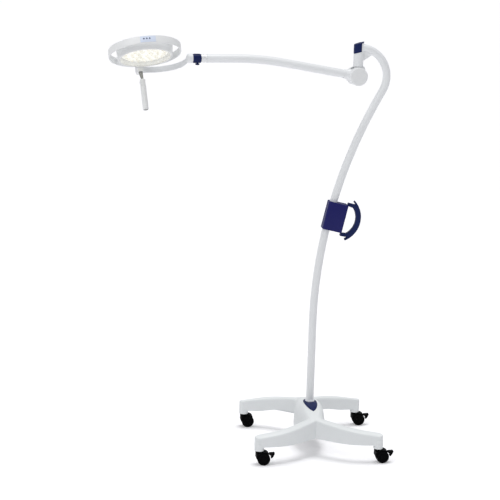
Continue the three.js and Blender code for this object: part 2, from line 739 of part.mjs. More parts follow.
const ARM_START = 62 + GAP;
function armLine() {
  const points = [new THREE.Vector3(ARM_START, 0, 0), new THREE.Vector3(ARM_STRAIGHT, 0, 0)];
  const steps = 6;
  for (let i = 1; i <= steps; i++) {
    const angle = (ARM_RISE * i) / steps;
    points.push(
      new THREE.Vector3(
        ARM_STRAIGHT + ARM_BEND_R * Math.sin(angle),
        0,
        -ARM_BEND_R * (1 - Math.cos(angle)),
      ),
    );
  }
  const bendEnd = points[points.length - 1];
  const along = new THREE.Vector3(Math.cos(ARM_RISE), 0, -Math.sin(ARM_RISE));
  points.push(bendEnd.clone().addScaledVector(along, ARM_END_RUN));
  return points;
}
const ARM_POINTS = armLine();
node(lift, "arm_tube", alongPoints(ARM_POINTS, ARM_R, ARM_R - ARM_WALL, 20), WHITE());

// Coil spring inside the arm that carries the head's weight.
function coil(turns, radius, wire, pitch, from) {
  const steps = turns * 8;
  const points = [];
  for (let i = 0; i <= steps; i++) {
    const angle = (2 * Math.PI * i) / 8;
    points.push(
      new THREE.Vector3(from + (pitch * i) / 8, radius * Math.cos(angle), radius * Math.sin(angle)),
    );
  }
  const curve = new THREE.CatmullRomCurve3(points);
  const settings = { steps, bevelEnabled: false, extrudePath: curve };
  return new THREE.ExtrudeGeometry(roundShape(wire, 5), settings);
}
node(lift, "balance_spring", coil(7, 11.5, 2.2, 14, 92), STEEL());

// Frame of the arm's free end: X along the roll axis, away from the arm.
const armEnd = ARM_POINTS[ARM_POINTS.length - 1];
const tip = group(lift, "arm_tip", [armEnd.x, armEnd.y, armEnd.z]);
tip.rotation.y = ARM_RISE;
const alongX = (geometry) => geometry.rotateY(Math.PI / 2);
const ROLL_PIN_R = 8;
const ferruleProfile = [
  [ROLL_PIN_R + GAP, -22],
  [ARM_R - ARM_WALL - 2 * GAP, -22],
  [ARM_R - ARM_WALL - 2 * GAP, GAP],
  [ARM_R - 0.6, GAP],
  [ARM_R - 0.6, 3],
  [FERRULE_R, 5],
  [FERRULE_R, FERRULE_L],
  [ROLL_PIN_R + GAP, FERRULE_L],
  [ROLL_PIN_R + GAP, -22],
];
node(tip, "arm_ferrule", alongX(turned(ferruleProfile, 20)), paint(0xf2f3f4, 0.3, 0.1));
const FRICTION_X0 = FERRULE_L + GAP;
const FRICTION_X1 = FRICTION_X0 + FRICTION_L;
const frictionBody = solid(
  alongX(
    turned(
      [
        [ROLL_PIN_R + GAP, FRICTION_X0],
        [FRICTION_R - 2, FRICTION_X0],
        [FRICTION_R, FRICTION_X0 + 2],
        [FRICTION_R, FRICTION_X1 - 2],
        [FRICTION_R - 2, FRICTION_X1],
        [ROLL_PIN_R + GAP, FRICTION_X1],
        [ROLL_PIN_R + GAP, FRICTION_X0],
      ],
      24,
    ),
  ),
);
const KNOB_X = FRICTION_X0 + 14;
const knobBore = solid(bar(4 + GAP, -40, -ROLL_PIN_R + 4, 16).translate(KNOB_X, 0, 0));
node(tip, "friction_ring", frictionBody.subtract(knobBore), NAVY());
const KNOB_TOP = -ROLL_PIN_R - 1;
const knobProfile = [
  [0, -FRICTION_R - 8.5],
  [7.5, -FRICTION_R - 8.5],
  [9, -FRICTION_R - 6.5],
  [9, -FRICTION_R - 0.5],
  [4, -FRICTION_R - 0.5],
  [4, KNOB_TOP],
  [0, KNOB_TOP],
];
node(tip, "friction_knob", turned(knobProfile, 20).translate(KNOB_X, 0, 0), NAVY());

// ---------- yoke ----------
const BOSS_X0 = FRICTION_X1 + RUN;
const yoke = group(tip, "yoke", [BOSS_X0 + YOKE_BOSS_L / 2, 0, 0]);
yoke.rotation.x = YOKE_ROLL;

// Path of the band in plan, as distances back towards the boss and out from the roll axis.
const YOKE_LINE = [
  [192, 0],
  [191, 34],
  [186, 64],
  [175, 91],
  [158, 113],
  [135, 132],
  [106, 147],
  [72, 156.5],
  [36, YOKE_PIVOT - 0.6],
  [0, YOKE_PIVOT],
  [-13, YOKE_PIVOT],
];

function bandOutline(line, thickness) {
  const points = line.map(([back, out]) => new THREE.Vector2(YOKE_REACH - back, -out));
  const left = [];
  const right = [];
  points.forEach((p, i) => {
    const next = points[Math.min(i + 1, points.length - 1)];
    const along = next.clone().sub(points[Math.max(i - 1, 0)]).normalize();
    const normal = new THREE.Vector2(-along.y, along.x).multiplyScalar(thickness / 2);
    left.push(p.clone().add(normal));
    right.push(p.clone().sub(normal));
  });
  return new THREE.Shape([...left, ...right.reverse()]);
}

const BAND_MID = 3;
const PIVOT_Z = -2;
const PIVOT_R = 6;
const band = solid(
  plate(bandOutline(YOKE_LINE, YOKE_BAND_T), BAND_MID - YOKE_BAND_H / 2, BAND_MID + YOKE_BAND_H / 2),
);
const yokeBoss = solid(
  alongX(
    turned(
      [
        [0, -YOKE_BOSS_L / 2],
        [YOKE_BOSS_R - 1.5, -YOKE_BOSS_L / 2],
        [YOKE_BOSS_R, -YOKE_BOSS_L / 2 + 1.5],
        [YOKE_BOSS_R, YOKE_BOSS_L / 2 - 4],
        [YOKE_BOSS_R - 5, YOKE_BOSS_L / 2],
        [0, YOKE_BOSS_L / 2],
      ],
      24,
    ),
  ),
);
const pivotBossShape = roundedOutline(
  YOKE_REACH - 12,
  YOKE_REACH + 12,
  PIVOT_Z - 17,
  PIVOT_Z + 17,
  [11, 11, 11, 11],
);
const pivotBoss = solid(slab(pivotBossShape, -YOKE_PIVOT - 4, -YOKE_PIVOT + YOKE_BAND_T / 2));
const pivotHole = solid(onBarrel(bar(PIVOT_R + GAP, 100, 200, 20)).translate(YOKE_REACH, 0, PIVOT_Z));
const rollHole = solid(alongX(bar(ROLL_PIN_R - 2 + GAP, -40, 3, 20)));
node(yoke, "yoke_band", band.add(yokeBoss).add(pivotBoss).subtract(pivotHole).subtract(rollHole), WHITE());
const rollPinProfile = [
  [0, -YOKE_BOSS_L / 2 - RUN - FRICTION_L - FERRULE_L - 18],
  [ROLL_PIN_R, -YOKE_BOSS_L / 2 - RUN - FRICTION_L - FERRULE_L - 18],
  [ROLL_PIN_R, -YOKE_BOSS_L / 2 - GAP],
  [ROLL_PIN_R - 2, -YOKE_BOSS_L / 2 - GAP],
  [ROLL_PIN_R - 2, 2],
  [0, 2],
];
node(yoke, "roll_pin", alongX(turned(rollPinProfile, 20)), STEEL());

// ---------- head ----------
const head = group(yoke, "head", [YOKE_REACH, 0, 0]);
head.position.z = PIVOT_Z;
head.rotation.y = HEAD_TILT;
const headZ = (z) => z - PIVOT_Z; // heights below are given from the roll axis

const LUG_Y0 = -YOKE_PIVOT + YOKE_BAND_T / 2 + RUN;
const pinProfile = [
  [0, 128],
  [PIVOT_R, 128],
  [PIVOT_R, YOKE_PIVOT + 4 + GAP],
  [11, YOKE_PIVOT + 4 + GAP],
  [11, YOKE_PIVOT + 7.5],
  [9, YOKE_PIVOT + 9.5],
  [0, YOKE_PIVOT + 9.5],
];
node(head, "pivot_screw", onBarrel(turned(pinProfile, 24)), STEEL());

const ringProfile = (z0, z1) => [
  [RING_R - RING_T, z0],
  [RING_R - 1, z0],
  [RING_R, z0 + 1.5],
  [RING_R, z1 - 1.5],
  [RING_R - 1, z1],
  [RING_R - RING_T, z1],
  [RING_R - RING_T, z0],
];
const ring0 = headZ(RING_MID - RING_H / 2);
const ring1 = headZ(RING_MID + RING_H / 2);
const SPOKE_Z = ring1 - 9;
const housingR = (z) => MOUTH_R + (HOUSING_FLARE * (z - headZ(0))) / HOUSING_H;
let guard = solid(turned(ringProfile(ring0, ring1), 56));
for (let i = 0; i < 4; i++) {
  const inner = housingR(SPOKE_Z + 4) + GAP;
  const length = RING_R - 2 - inner;
  const spoke = block(length, 16, 8, inner + length / 2, 0, SPOKE_Z);
  guard = guard.add(solid(spoke.rotateZ(Math.PI / 4 + (i * Math.PI) / 2)));
}
node(head, "guard_ring", guard, WHITE());

const mouth = headZ(0);
const shoulder = mouth + HOUSING_H;
const housingProfile = [[0, mouth], [MOUTH_R, mouth], [housingR(shoulder), shoulder], [0, shoulder]];
const housingOuter = solid(turned(housingProfile, 48));
const lampCavity = solid(
  turned(
    [
      [0, mouth - 5],
      [MOUTH_R - HOUSING_WALL, mouth - 5],
      [housingR(shoulder) - HOUSING_WALL, shoulder - HOUSING_WALL],
      [0, shoulder - HOUSING_WALL],
    ],
    48,
  ),
);
const serviceHole = solid(bar(60, 0, 100, 40));
const pivotLugShape = roundedOutline(-12, 12, -17, 14, [10, 10, 6, 6]);
const pivotLug = solid(slab(pivotLugShape, LUG_Y0, -MOUTH_R + 2));
const lugBore = solid(onBarrel(bar(PIVOT_R + GAP, 127, 200, 20)));
const stemRoot = [118, 126];
const lampHousing = housingOuter
  .subtract(lampCavity)
  .subtract(serviceHole)
  .add(pivotLug.subtract(solid(bar(MOUTH_R - 1, -60, 60, 48))))
  .subtract(lugBore);
node(head, "lamp_housing", lampHousing, WHITE());

const rearProfile = [
  [0, shoulder + GAP],
  [housingR(shoulder) - 0.5, shoulder + GAP],
  [housingR(shoulder) - 2.5, shoulder + 3.5],
  [108, shoulder + 8.5],
  [82, shoulder + 16],
  [45, shoulder + 21],
  [0, shoulder + 22.5],
];
const rearHollow = [
  [0, shoulder - 5],
  [110, shoulder - 5],
  [106, shoulder + 5],
  [80, shoulder + 13],
  [44, shoulder + 18],
  [0, shoulder + 19.5],
];
node(head, "rear_cover", solid(turned(rearProfile, 40)).subtract(solid(turned(rearHollow, 40))), WHITE());

const BOARD_R = 104;
const BOARD_Z = mouth + 24;
let sink = solid(bar(96, BOARD_Z + 2 + GAP, BOARD_Z + 7, 40));
for (let i = -4; i <= 4; i++) {
  const half = Math.sqrt(88 ** 2 - (i * 18) ** 2);
  sink = sink.add(solid(block(3, 2 * half, 14, i * 18, 0, BOARD_Z + 13)));
}
node(head, "heat_sink", sink, paint(0x9da1a5, 0.4, 0.8));
node(head, "led_board", bar(BOARD_R, BOARD_Z, BOARD_Z + 2, 32), paint(0xf0f0ec, 0.6, 0.0));

// Rings of small moulded lenses under the LEDs.
const LENS_RINGS = [
  [28, 6],
  [56, 12],
  [85, 18],
];
const OPTIC_R = 9.5;
let optics = solid(bar(BOARD_R - 2, BOARD_Z - 3 - GAP, BOARD_Z - GAP, 32));
const opticProfile = [
  [0, BOARD_Z - 11],
  [OPTIC_R - 2, BOARD_Z - 9],
  [OPTIC_R, BOARD_Z - 2],
  [0, BOARD_Z - 2],
];
LENS_RINGS.forEach(([radius, count]) => {
  for (let i = 0; i < count; i++) {
    const angle = (2 * Math.PI * i) / count;
    const optic = turned(opticProfile, 6).translate(radius * Math.cos(angle), radius * Math.sin(angle), 0);
    optics = optics.add(solid(optic));
  }
});
node(head, "led_optics", optics, paint(0xe8eef2, 0.1, 0.0));

const bezelOuter = MOUTH_R - HOUSING_WALL - GAP - 0.2;
const lens0 = headZ(LENS_Z);
node(head, "lens_plate", bar(LENS_R, lens0, lens0 + LENS_T, 48), paint(0xfbfaf2, 0.12, 0.0));
const bezelProfile = [
  [LENS_R - 2.2, lens0 - 1.5],
  [bezelOuter, lens0 - 1.5],
  [bezelOuter, lens0 + 11],
  [LENS_R + GAP, lens0 + 11],
  [LENS_R + GAP, lens0 - GAP],
  [LENS_R - 2.2, lens0 - GAP],
  [LENS_R - 2.2, lens0 - 1.5],
];
node(head, "lens_bezel", turned(bezelProfile, 48), paint(0xd4d8da, 0.4, 0.0));

// Membrane panel on the outside of the ring, with three keys.
const PANEL_ANGLE = THREE.MathUtils.degToRad(84);
const PANEL_HALF = THREE.MathUtils.degToRad(12);
const PANEL_T = 1.6;
function panelOutline(r0, r1) {
  const count = 8;
  const outer = [];
  const inner = [];
  for (let i = 0; i <= count; i++) {
    const angle = PANEL_ANGLE - PANEL_HALF + (2 * PANEL_HALF * i) / count;
    outer.push([r1 * Math.cos(angle), r1 * Math.sin(angle)]);
    inner.push([r0 * Math.cos(angle), r0 * Math.sin(angle)]);
  }
  return shapeOf([...outer, ...inner.reverse()]);
}
const KEY_R = 3.2;
const panelMid = (ring0 + ring1) / 2;
const KEY_ANGLES = [-4.5, 0, 4.5].map((step) => PANEL_ANGLE + THREE.MathUtils.degToRad(step - 2));
const keyHole = (angle) => {
  const hole = bar(KEY_R + 0.3, RING_R - 0.2, RING_R + 9, 16).rotateY(Math.PI / 2);
  return solid(hole.rotateZ(angle).translate(0, 0, panelMid + 2));
};
const panelFoot = RING_R + GAP;
const panelFace = panelFoot + PANEL_T;
let panel = solid(plate(panelOutline(panelFoot, panelFace), panelMid - 13, panelMid + 13));
KEY_ANGLES.forEach((angle) => {
  panel = panel.subtract(keyHole(angle));
});
node(head, "key_panel", panel, paint(0xdfe6f4, 0.4, 0.0));
["dim", "power", "bright"].forEach((name, i) => {
  const key = bar(KEY_R, panelFoot + 0.2 + KEY_TRAVEL, panelFace + 0.9, 16).rotateY(Math.PI / 2);
  const placed = key.rotateZ(KEY_ANGLES[i]).translate(0, 0, panelMid + 2);
  node(head, `key_${name}`, placed, paint(0x2c3a66, 0.5, 0.0));
});

// ---------- handle ----------
const LUG_FOOT = -17;
const COLLAR_TOP = -58;
const COLLAR_FOOT = -95;
const GRIP_FOOT = headZ(-HANDLE_L);
const [rootNear, rootFar] = stemRoot;
const stemSide = [
  [-rootFar, LUG_FOOT - GAP],
  [-rootNear, LUG_FOOT - GAP],
  [-HANDLE_OFF + 4, COLLAR_TOP - 6],
  [-HANDLE_OFF - 4, COLLAR_TOP - 6],
];
const stemFront = [
  [-7, LUG_FOOT - GAP],
  [7, LUG_FOOT - GAP],
  [4, COLLAR_TOP - 6],
  [-4, COLLAR_TOP - 6],
];
const stemFrontSolid = solid(slab(stemFront, -140, -80));
const stemSideSolid = solid(slab(stemSide, -20, 20).rotateZ(Math.PI / 2));
const stemBar = stemSideSolid.intersect(stemFrontSolid);
const stemHead = LUG_FOOT - GAP;
const screwPad = solid(bar(5.5, stemHead - 5, stemHead, 20).translate(0, -(rootNear + rootFar) / 2, 0));
node(head, "handle_stem", stemBar.add(screwPad), STEEL());
const handleAxis = (geometry) => geometry.translate(0, -HANDLE_OFF, 0);
const collarBody = solid(
  handleAxis(
    turned(
      [
        [0, COLLAR_FOOT],
        [10, COLLAR_FOOT],
        [10, COLLAR_FOOT + 7],
        [12, COLLAR_FOOT + 8],
        [12, COLLAR_TOP - 2],
        [10.5, COLLAR_TOP],
        [0, COLLAR_TOP],
      ],
      24,
    ),
  ),
);
const stemRoomShape = [
  [-4.6, COLLAR_TOP - 7],
  [4.6, COLLAR_TOP - 7],
  [4.9, COLLAR_TOP + 4],
  [-4.9, COLLAR_TOP + 4],
];
const stemRoom = solid(slab(stemRoomShape, -HANDLE_OFF - 6.6, -HANDLE_OFF + 6.6));
const LATCH_Z = COLLAR_TOP - 15;
const latchRoom = solid(bar(5.3, 4, 20, 18).rotateY(Math.PI / 2).translate(0, -HANDLE_OFF, LATCH_Z));
node(head, "handle_collar", collarBody.subtract(stemRoom).subtract(latchRoom), WHITE());
const latchProfile = [[0, 6.2], [5, 6.2], [5, 13.4], [4, 14.6], [0, 14.6]];
const latch = turned(latchProfile, 18).rotateY(Math.PI / 2).translate(0, -HANDLE_OFF, LATCH_Z);
node(head, "latch_button", latch, paint(0xd8dadb, 0.45, 0.0));
const gripProfile = [
  [HANDLE_R - 2.2, GRIP_FOOT],
  [HANDLE_R - 0.8, GRIP_FOOT],
  [HANDLE_R, GRIP_FOOT + 1.2],
  [HANDLE_R, COLLAR_FOOT + 5],
  [HANDLE_R - 1, COLLAR_FOOT + 6.5],
  [10 + GAP, COLLAR_FOOT + 6.5],
  [10 + GAP, COLLAR_FOOT - 4],
  [HANDLE_R - 2.2, COLLAR_FOOT - 4],
  [HANDLE_R - 2.2, GRIP_FOOT],
];
node(head, "grip_sleeve", handleAxis(turned(gripProfile, 24)), WHITE());

// ---------- stand the lamp on the floor, centred ----------
lamp.updateMatrixWorld(true);
const bounds = new THREE.Box3().setFromObject(lamp, true);
const middle = bounds.getCenter(new THREE.Vector3());
const root = new THREE.Group();
root.name = "examination_lamp_standing";
lamp.position.set(-middle.x, -middle.y, -bounds.min.z);
root.add(lamp);

export default root;
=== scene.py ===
"""Looks of a mobile examination lamp: cast base, curved pole, jointed arm, ringed LED head.

Every sub-assembly is a class with its sizes in millimetres, in a frame of its own. The frames come
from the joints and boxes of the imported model, so each piece lands where its CAD node is.
"""

import json
import logging
import math
from dataclasses import dataclass, field
from enum import Enum
from typing import Callable, ClassVar, Iterable, Sequence

import bmesh
import bpy
import numpy as np
from mathutils import Matrix, Vector
from mathutils.geometry import delaunay_2d_cdt


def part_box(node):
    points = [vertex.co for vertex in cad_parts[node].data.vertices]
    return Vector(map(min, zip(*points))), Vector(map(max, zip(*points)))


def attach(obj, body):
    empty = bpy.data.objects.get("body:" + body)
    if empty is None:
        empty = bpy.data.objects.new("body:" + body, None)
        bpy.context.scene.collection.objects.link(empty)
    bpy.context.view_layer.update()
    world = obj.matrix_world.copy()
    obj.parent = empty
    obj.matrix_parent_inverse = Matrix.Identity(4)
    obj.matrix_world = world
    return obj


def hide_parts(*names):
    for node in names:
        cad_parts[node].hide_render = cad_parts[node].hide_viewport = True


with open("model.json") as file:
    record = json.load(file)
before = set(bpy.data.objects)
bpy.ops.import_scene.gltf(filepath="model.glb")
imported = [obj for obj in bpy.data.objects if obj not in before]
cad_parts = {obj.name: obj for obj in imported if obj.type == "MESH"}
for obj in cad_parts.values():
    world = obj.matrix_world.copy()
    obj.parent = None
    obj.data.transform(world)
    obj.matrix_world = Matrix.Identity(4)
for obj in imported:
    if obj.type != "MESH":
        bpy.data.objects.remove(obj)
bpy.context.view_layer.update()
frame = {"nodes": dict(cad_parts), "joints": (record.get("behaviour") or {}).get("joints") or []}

LOG = logging.getLogger("lamp")
MM = 0.001
Point = tuple[float, float]
Level = float | Callable[[float, float], float]


# ---------------------------------------------------------------- finishes
@dataclass(frozen=True)
class Finish:
    """A paint, plastic or metal, described by how its surface looks.

    Attributes:
        name: the material's name.
        color: linear base colour.
        roughness: middle of the roughness range.
        metallic: 0 for paint and plastic, 1 for bare metal.
        coat: weight of the clear coat over it.
        mottle: how much the colour drifts over the surface, as a share.
        grain: cells per metre of the fine surface texture.
        depth: height of that texture in metres.
        brushed: stretch of the texture along Z, for drawn or turned metal.
        alpha: opacity.
        glow: strength of its own light.
        shine: level of its plain reflection.
    """

    name: str
    color: tuple[float, float, float]
    roughness: float
    metallic: float = 0.0
    coat: float = 0.0
    mottle: float = 0.03
    grain: float = 700.0
    depth: float = 0.00002
    brushed: float = 1.0
    alpha: float = 1.0
    glow: float = 0.0
    shine: float = 0.5

    def material(self) -> bpy.types.Material:
        """Return the finish's node material, made once."""
        ready = bpy.data.materials.get(self.name)
        if ready:
            return ready
        made = bpy.data.materials.new(self.name)
        made.use_nodes = True
        tree = made.node_tree
        tree.nodes.clear()
        out = tree.nodes.new("ShaderNodeOutputMaterial")
        shader = tree.nodes.new("ShaderNodeBsdfPrincipled")
        place = tree.nodes.new("ShaderNodeTexCoord")
        stretch = tree.nodes.new("ShaderNodeMapping")
        stretch.inputs["Scale"].default_value = (1.0, 1.0, self.brushed)
        cloud = self._noise(tree, 5.0, 3.0)
        scuff = self._noise(tree, 60.0, 5.0)
        fine = self._noise(tree, self.grain, 2.0)
        tone = tree.nodes.new("ShaderNodeMapRange")
        tone.inputs["From Min"].default_value = 0.25
        tone.inputs["From Max"].default_value = 0.75
        tone.inputs["To Min"].default_value = 1.0 - self.mottle
        tone.inputs["To Max"].default_value = 1.0 + self.mottle
        tint = tree.nodes.new("ShaderNodeMixRGB")
        tint.blend_type = "MULTIPLY"
        tint.inputs["Fac"].default_value = 1.0
        tint.inputs["Color1"].default_value = (*self.color, 1.0)
        matt = tree.nodes.new("ShaderNodeMapRange")
        matt.inputs["From Min"].default_value = 0.3
        matt.inputs["From Max"].default_value = 0.7
        matt.inputs["To Min"].default_value = max(self.roughness - 0.06, 0.02)
        matt.inputs["To Max"].default_value = min(self.roughness + 0.06, 1.0)
        bump = tree.nodes.new("ShaderNodeBump")
        bump.inputs["Strength"].default_value = 0.35
        bump.inputs["Distance"].default_value = self.depth
        link = tree.links.new
        link(place.outputs["Object"], cloud.inputs["Vector"])
        link(place.outputs["Object"], scuff.inputs["Vector"])
        link(place.outputs["Object"], stretch.inputs["Vector"])
        link(stretch.outputs["Vector"], fine.inputs["Vector"])
        link(cloud.outputs["Fac"], tone.inputs["Value"])
        link(tone.outputs["Result"], tint.inputs["Color2"])
        link(tint.outputs["Color"], shader.inputs["Base Color"])
        link(scuff.outputs["Fac"], matt.inputs["Value"])
        link(matt.outputs["Result"], shader.inputs["Roughness"])
        link(fine.outputs["Fac"], bump.inputs["Height"])
        link(bump.outputs["Normal"], shader.inputs["Normal"])
        link(shader.outputs["BSDF"], out.inputs["Surface"])
        shader.inputs["Metallic"].default_value = self.metallic
        shader.inputs["Coat Weight"].default_value = self.coat
        shader.inputs["Coat Roughness"].default_value = 0.25
        shader.inputs["Specular IOR Level"].default_value = self.shine
        shader.inputs["Alpha"].default_value = self.alpha
        shader.inputs["Emission Color"].default_value = (*self.color, 1.0)
        shader.inputs["Emission Strength"].default_value = self.glow
        made.diffuse_color = (*self.color, 1.0)
        return made

    @staticmethod
    def _noise(tree: bpy.types.NodeTree, scale: float, detail: float) -> bpy.types.Node:
        """Add a noise texture.

        Args:
            tree: the node tree.
            scale: cells per metre.
            detail: octaves.

        Returns:
            The node.
        """
        noise = tree.nodes.new("ShaderNodeTexNoise")
        noise.inputs["Scale"].default_value = scale
        noise.inputs["Detail"].default_value = detail
        return noise


class Finishes(Enum):
    """The finishes the lamp is made in."""

    POWDER_WHITE = Finish("powder_white", (0.86, 0.875, 0.885), 0.42, coat=0.12, mottle=0.015,
        depth=0.00003)
    CAST_WHITE = Finish("cast_white", (0.85, 0.875, 0.88), 0.5, coat=0.06, mottle=0.02, grain=420,
        depth=0.00005)
    MOULDED_WHITE = Finish("moulded_white", (0.85, 0.86, 0.862), 0.4, coat=0.1, mottle=0.012, grain=900)
    COLLAR_WHITE = Finish("collar_white", (0.9, 0.92, 0.95), 0.3, coat=0.3, mottle=0.01)
    NAVY = Finish("navy_trim", (0.004, 0.013, 0.085), 0.4, mottle=0.08, grain=1200, depth=0.00004,
        shine=0.2)
    BOX_NAVY = Finish("box_navy", (0.010, 0.011, 0.118), 0.42, mottle=0.07, grain=1500, depth=0.00006,
        shine=0.2)
    BLACK = Finish("black_nylon", (0.0015, 0.0015, 0.002), 0.6, shine=0.06, mottle=0.15, grain=1300,
        depth=0.00005)
    TREAD = Finish("wheel_tread", (0.002, 0.002, 0.0025), 0.7, shine=0.06, mottle=0.2, grain=500,
        depth=0.00008)
    STEEL = Finish("drawn_steel", (0.50, 0.505, 0.51), 0.34, metallic=1.0, mottle=0.05, brushed=0.05)
    # Painted shade: a grey darker than the steel, standing for the shade under the head on the handle stem
    # and for the shade inside the grip's open foot.
    SHADE_GREY = Finish("painted_shade_grey", (0.30, 0.305, 0.30), 0.42, metallic=0.35, mottle=0.04)
    FERRULE = Finish("polished_ferrule", (0.86, 0.87, 0.88), 0.3, metallic=0.25, coat=0.2)
    # Painted shade: a near-black finish standing for the shade in gaps, given to the swivel bushes in the
    # gap round the spindle.
    GAP_SHADE = Finish("gap_shadow", (0.05, 0.05, 0.055), 0.8, mottle=0.1)
    LENS = Finish("frosted_lens", (0.95, 0.945, 0.89), 0.12, coat=0.6, mottle=0.008, alpha=0.3, glow=0.22)
    BOARD = Finish("led_board", (0.95, 0.945, 0.9), 0.5, mottle=0.01, glow=0.3)
    OPTIC = Finish("moulded_optic", (0.93, 0.93, 0.88), 0.12, coat=0.3, mottle=0.02, glow=0.35)
    CUP = Finish("optic_cup", (0.80, 0.78, 0.70), 0.15, coat=0.3, mottle=0.02, glow=0.22)
    CHIP = Finish("led_chip", (0.62, 0.47, 0.16), 0.4, mottle=0.1, glow=0.1)
    PANEL = Finish("key_panel", (0.72, 0.79, 0.93), 0.38, mottle=0.01)
    KEY = Finish("key_blue", (0.03, 0.05, 0.14), 0.45, mottle=0.05)
    FLOOR = Finish("studio_floor", (0.93, 0.925, 0.94), 0.85, mottle=0.002, depth=0.0)


# ---------------------------------------------------------------- mesh kit
@dataclass
class Shape:
    """Points and faces in millimetres, in a piece's own frame."""

    points: list[Vector] = field(default_factory=list)
    faces: list[tuple[int, ...]] = field(default_factory=list)

    def add(self, other: "Shape", place: Matrix | None = None) -> "Shape":
        """Add another shape, moved by a matrix.

        Args:
            other: the shape to add.
            place: its placing, or None to leave it where it is.

        Returns:
            This shape.
        """
        start = len(self.points)
        move = place or Matrix.Identity(4)
        self.points += [move @ p for p in other.points]
        self.faces += [tuple(i + start for i in f) for f in other.faces]
        return self

    def moved(self, place: Matrix) -> "Shape":
        """Return a copy placed by a matrix."""
        return Shape().add(self, place)


def shift(x: float = 0.0, y: float = 0.0, z: float = 0.0) -> Matrix:
    """Return a translation."""
    return Matrix.Translation((x, y, z))


def turn(angle: float, axis: str) -> Matrix:
    """Return a rotation by degrees about a named axis."""
    return Matrix.Rotation(math.radians(angle), 4, axis)


ALONG_X = turn(90, "Y")
ALONG_Y = turn(90, "X")


def fillet(corners: Sequence[Sequence[float]], steps: int = 4, closed: bool = False) -> list[Point]:
    """Round the corners of a polyline.

    Args:
        corners: points as (a, b) or (a, b, radius).
        steps: segments in each rounded corner.
        closed: whether the last point joins the first.

    Returns:
        The points of the rounded line.
    """
    out: list[Point] = []
    count = len(corners)
    for i, corner in enumerate(corners):
        here = Vector(corner[:2])
        radius = corner[2] if len(corner) > 2 else 0.0
        ends = not closed and i in (0, count - 1)
        if ends or radius <= 0.0:
            out.append((here.x, here.y))
            continue
        to_prev = Vector(corners[i - 1][:2]) - here
        to_next = Vector(corners[(i + 1) % count][:2]) - here
        half = to_prev.angle(to_next, math.pi) / 2.0
        if half < 0.02 or half > math.pi / 2.0 - 0.02:
            out.append((here.x, here.y))
            continue
        reach = min(radius / math.tan(half), 0.49 * to_prev.length, 0.49 * to_next.length)
        start = here + to_prev.normalized() * reach
        end = here + to_next.normalized() * reach
        for k in range(steps + 1):
            t = k / steps
            p = start * (1 - t) ** 2 + here * (2 * t * (1 - t)) + end * t**2
            out.append((p.x, p.y))
    return out


def turned(profile: Sequence[Point], segments: int = 64) -> Shape:
    """Revolve (radius, height) points about Z.

    Args:
        profile: from one end to the other, starting and ending on the axis, or closed on itself.
        segments: steps round the axis.

    Returns:
        The closed shape.
    """
    shape = Shape()
    loop = profile[0][0] > 1e-6
    rings: list[list[int]] = []
    for radius, height in profile:
        if radius <= 1e-6:
            shape.points.append(Vector((0, 0, height)))
            rings.append([len(shape.points) - 1])
            continue
        first = len(shape.points)
        for k in range(segments):
            angle = 2 * math.pi * k / segments
            shape.points.append(Vector((radius * math.cos(angle), radius * math.sin(angle), height)))
        rings.append(list(range(first, first + segments)))
    pairs = list(zip(rings, rings[1:]))
    if loop:
        pairs.append((rings[-1], rings[0]))
    for low, high in pairs:
        for k in range(segments):
            n = (k + 1) % segments
            if len(low) == 1 and len(high) == 1:
                continue
            if len(low) == 1:
                shape.faces.append((low[0], high[n], high[k]))
            elif len(high) == 1:
                shape.faces.append((low[k], low[n], high[0]))
            else:
                shape.faces.append((low[k], low[n], high[n], high[k]))
    return shape


def prism(outline: Sequence[Point], low: Level, high: Level) -> Shape:
    """Raise a plan outline between two heights.

    Args:
        outline: the points of the outline.
        low: the lower height, a number or a function of (x, y).
        high: the upper height, likewise.

    Returns:
        The closed shape.
    """
    count = len(outline)
    shape = Shape()
    for level in (low, high):
        heights = [level(*p) if callable(level) else level for p in outline]
        shape.points += [Vector((*p, height)) for p, height in zip(outline, heights)]
    shape.faces.append(tuple(reversed(range(count))))
    shape.faces.append(tuple(range(count, 2 * count)))
    for i in range(count):
        n = (i + 1) % count
        shape.faces.append((i, n, n + count, i + count))
    return shape


def swept(path: Sequence[Vector], section: Sequence[Point], side: Vector) -> Shape:
    """Carry a closed section along a flat path.

    Args:
        path: the points of the path.
        section: points as (across, up), where across runs along `side`.
        side: the normal of the path's plane.

    Returns:
        The closed shape, with plain ends.
    """
    shape = Shape()
    last = len(path) - 1
    count = len(section)
    for i, p in enumerate(path):
        along = (path[min(i + 1, last)] - path[max(i - 1, 0)]).normalized()
        up = along.cross(side)
        shape.points += [p + side * a + up * b for a, b in section]
    for i in range(last):
        for k in range(count):
            n = (k + 1) % count
            a, b = i * count, (i + 1) * count
            shape.faces.append((a + k, a + n, b + n, b + k))
    shape.faces.append(tuple(reversed(range(count))))
    shape.faces.append(tuple(range(last * count, (last + 1) * count)))
    return shape


def circle(radius: float, segments: int = 48) -> list[Point]:
    """Return the points of a circle round the origin."""
    angles = [2 * math.pi * k / segments for k in range(segments)]
    return [(radius * math.cos(a), radius * math.sin(a)) for a in angles]


def arc(cx: float, cy: float, radius: float, start: float, end: float, steps: int) -> list[Point]:
    """Make an arc.

    Args:
        cx: the centre's first coordinate.
        cy: the centre's second coordinate.
        radius: its radius.
        start: angle of its first point, in degrees.
        end: angle of its last point, in degrees.
        steps: its segments.

    Returns:
        The points.
    """
    out = []
    for k in range(steps + 1):
        a = math.radians(start + (end - start) * k / steps)
        out.append((cx + radius * math.cos(a), cy + radius * math.sin(a)))
    return out


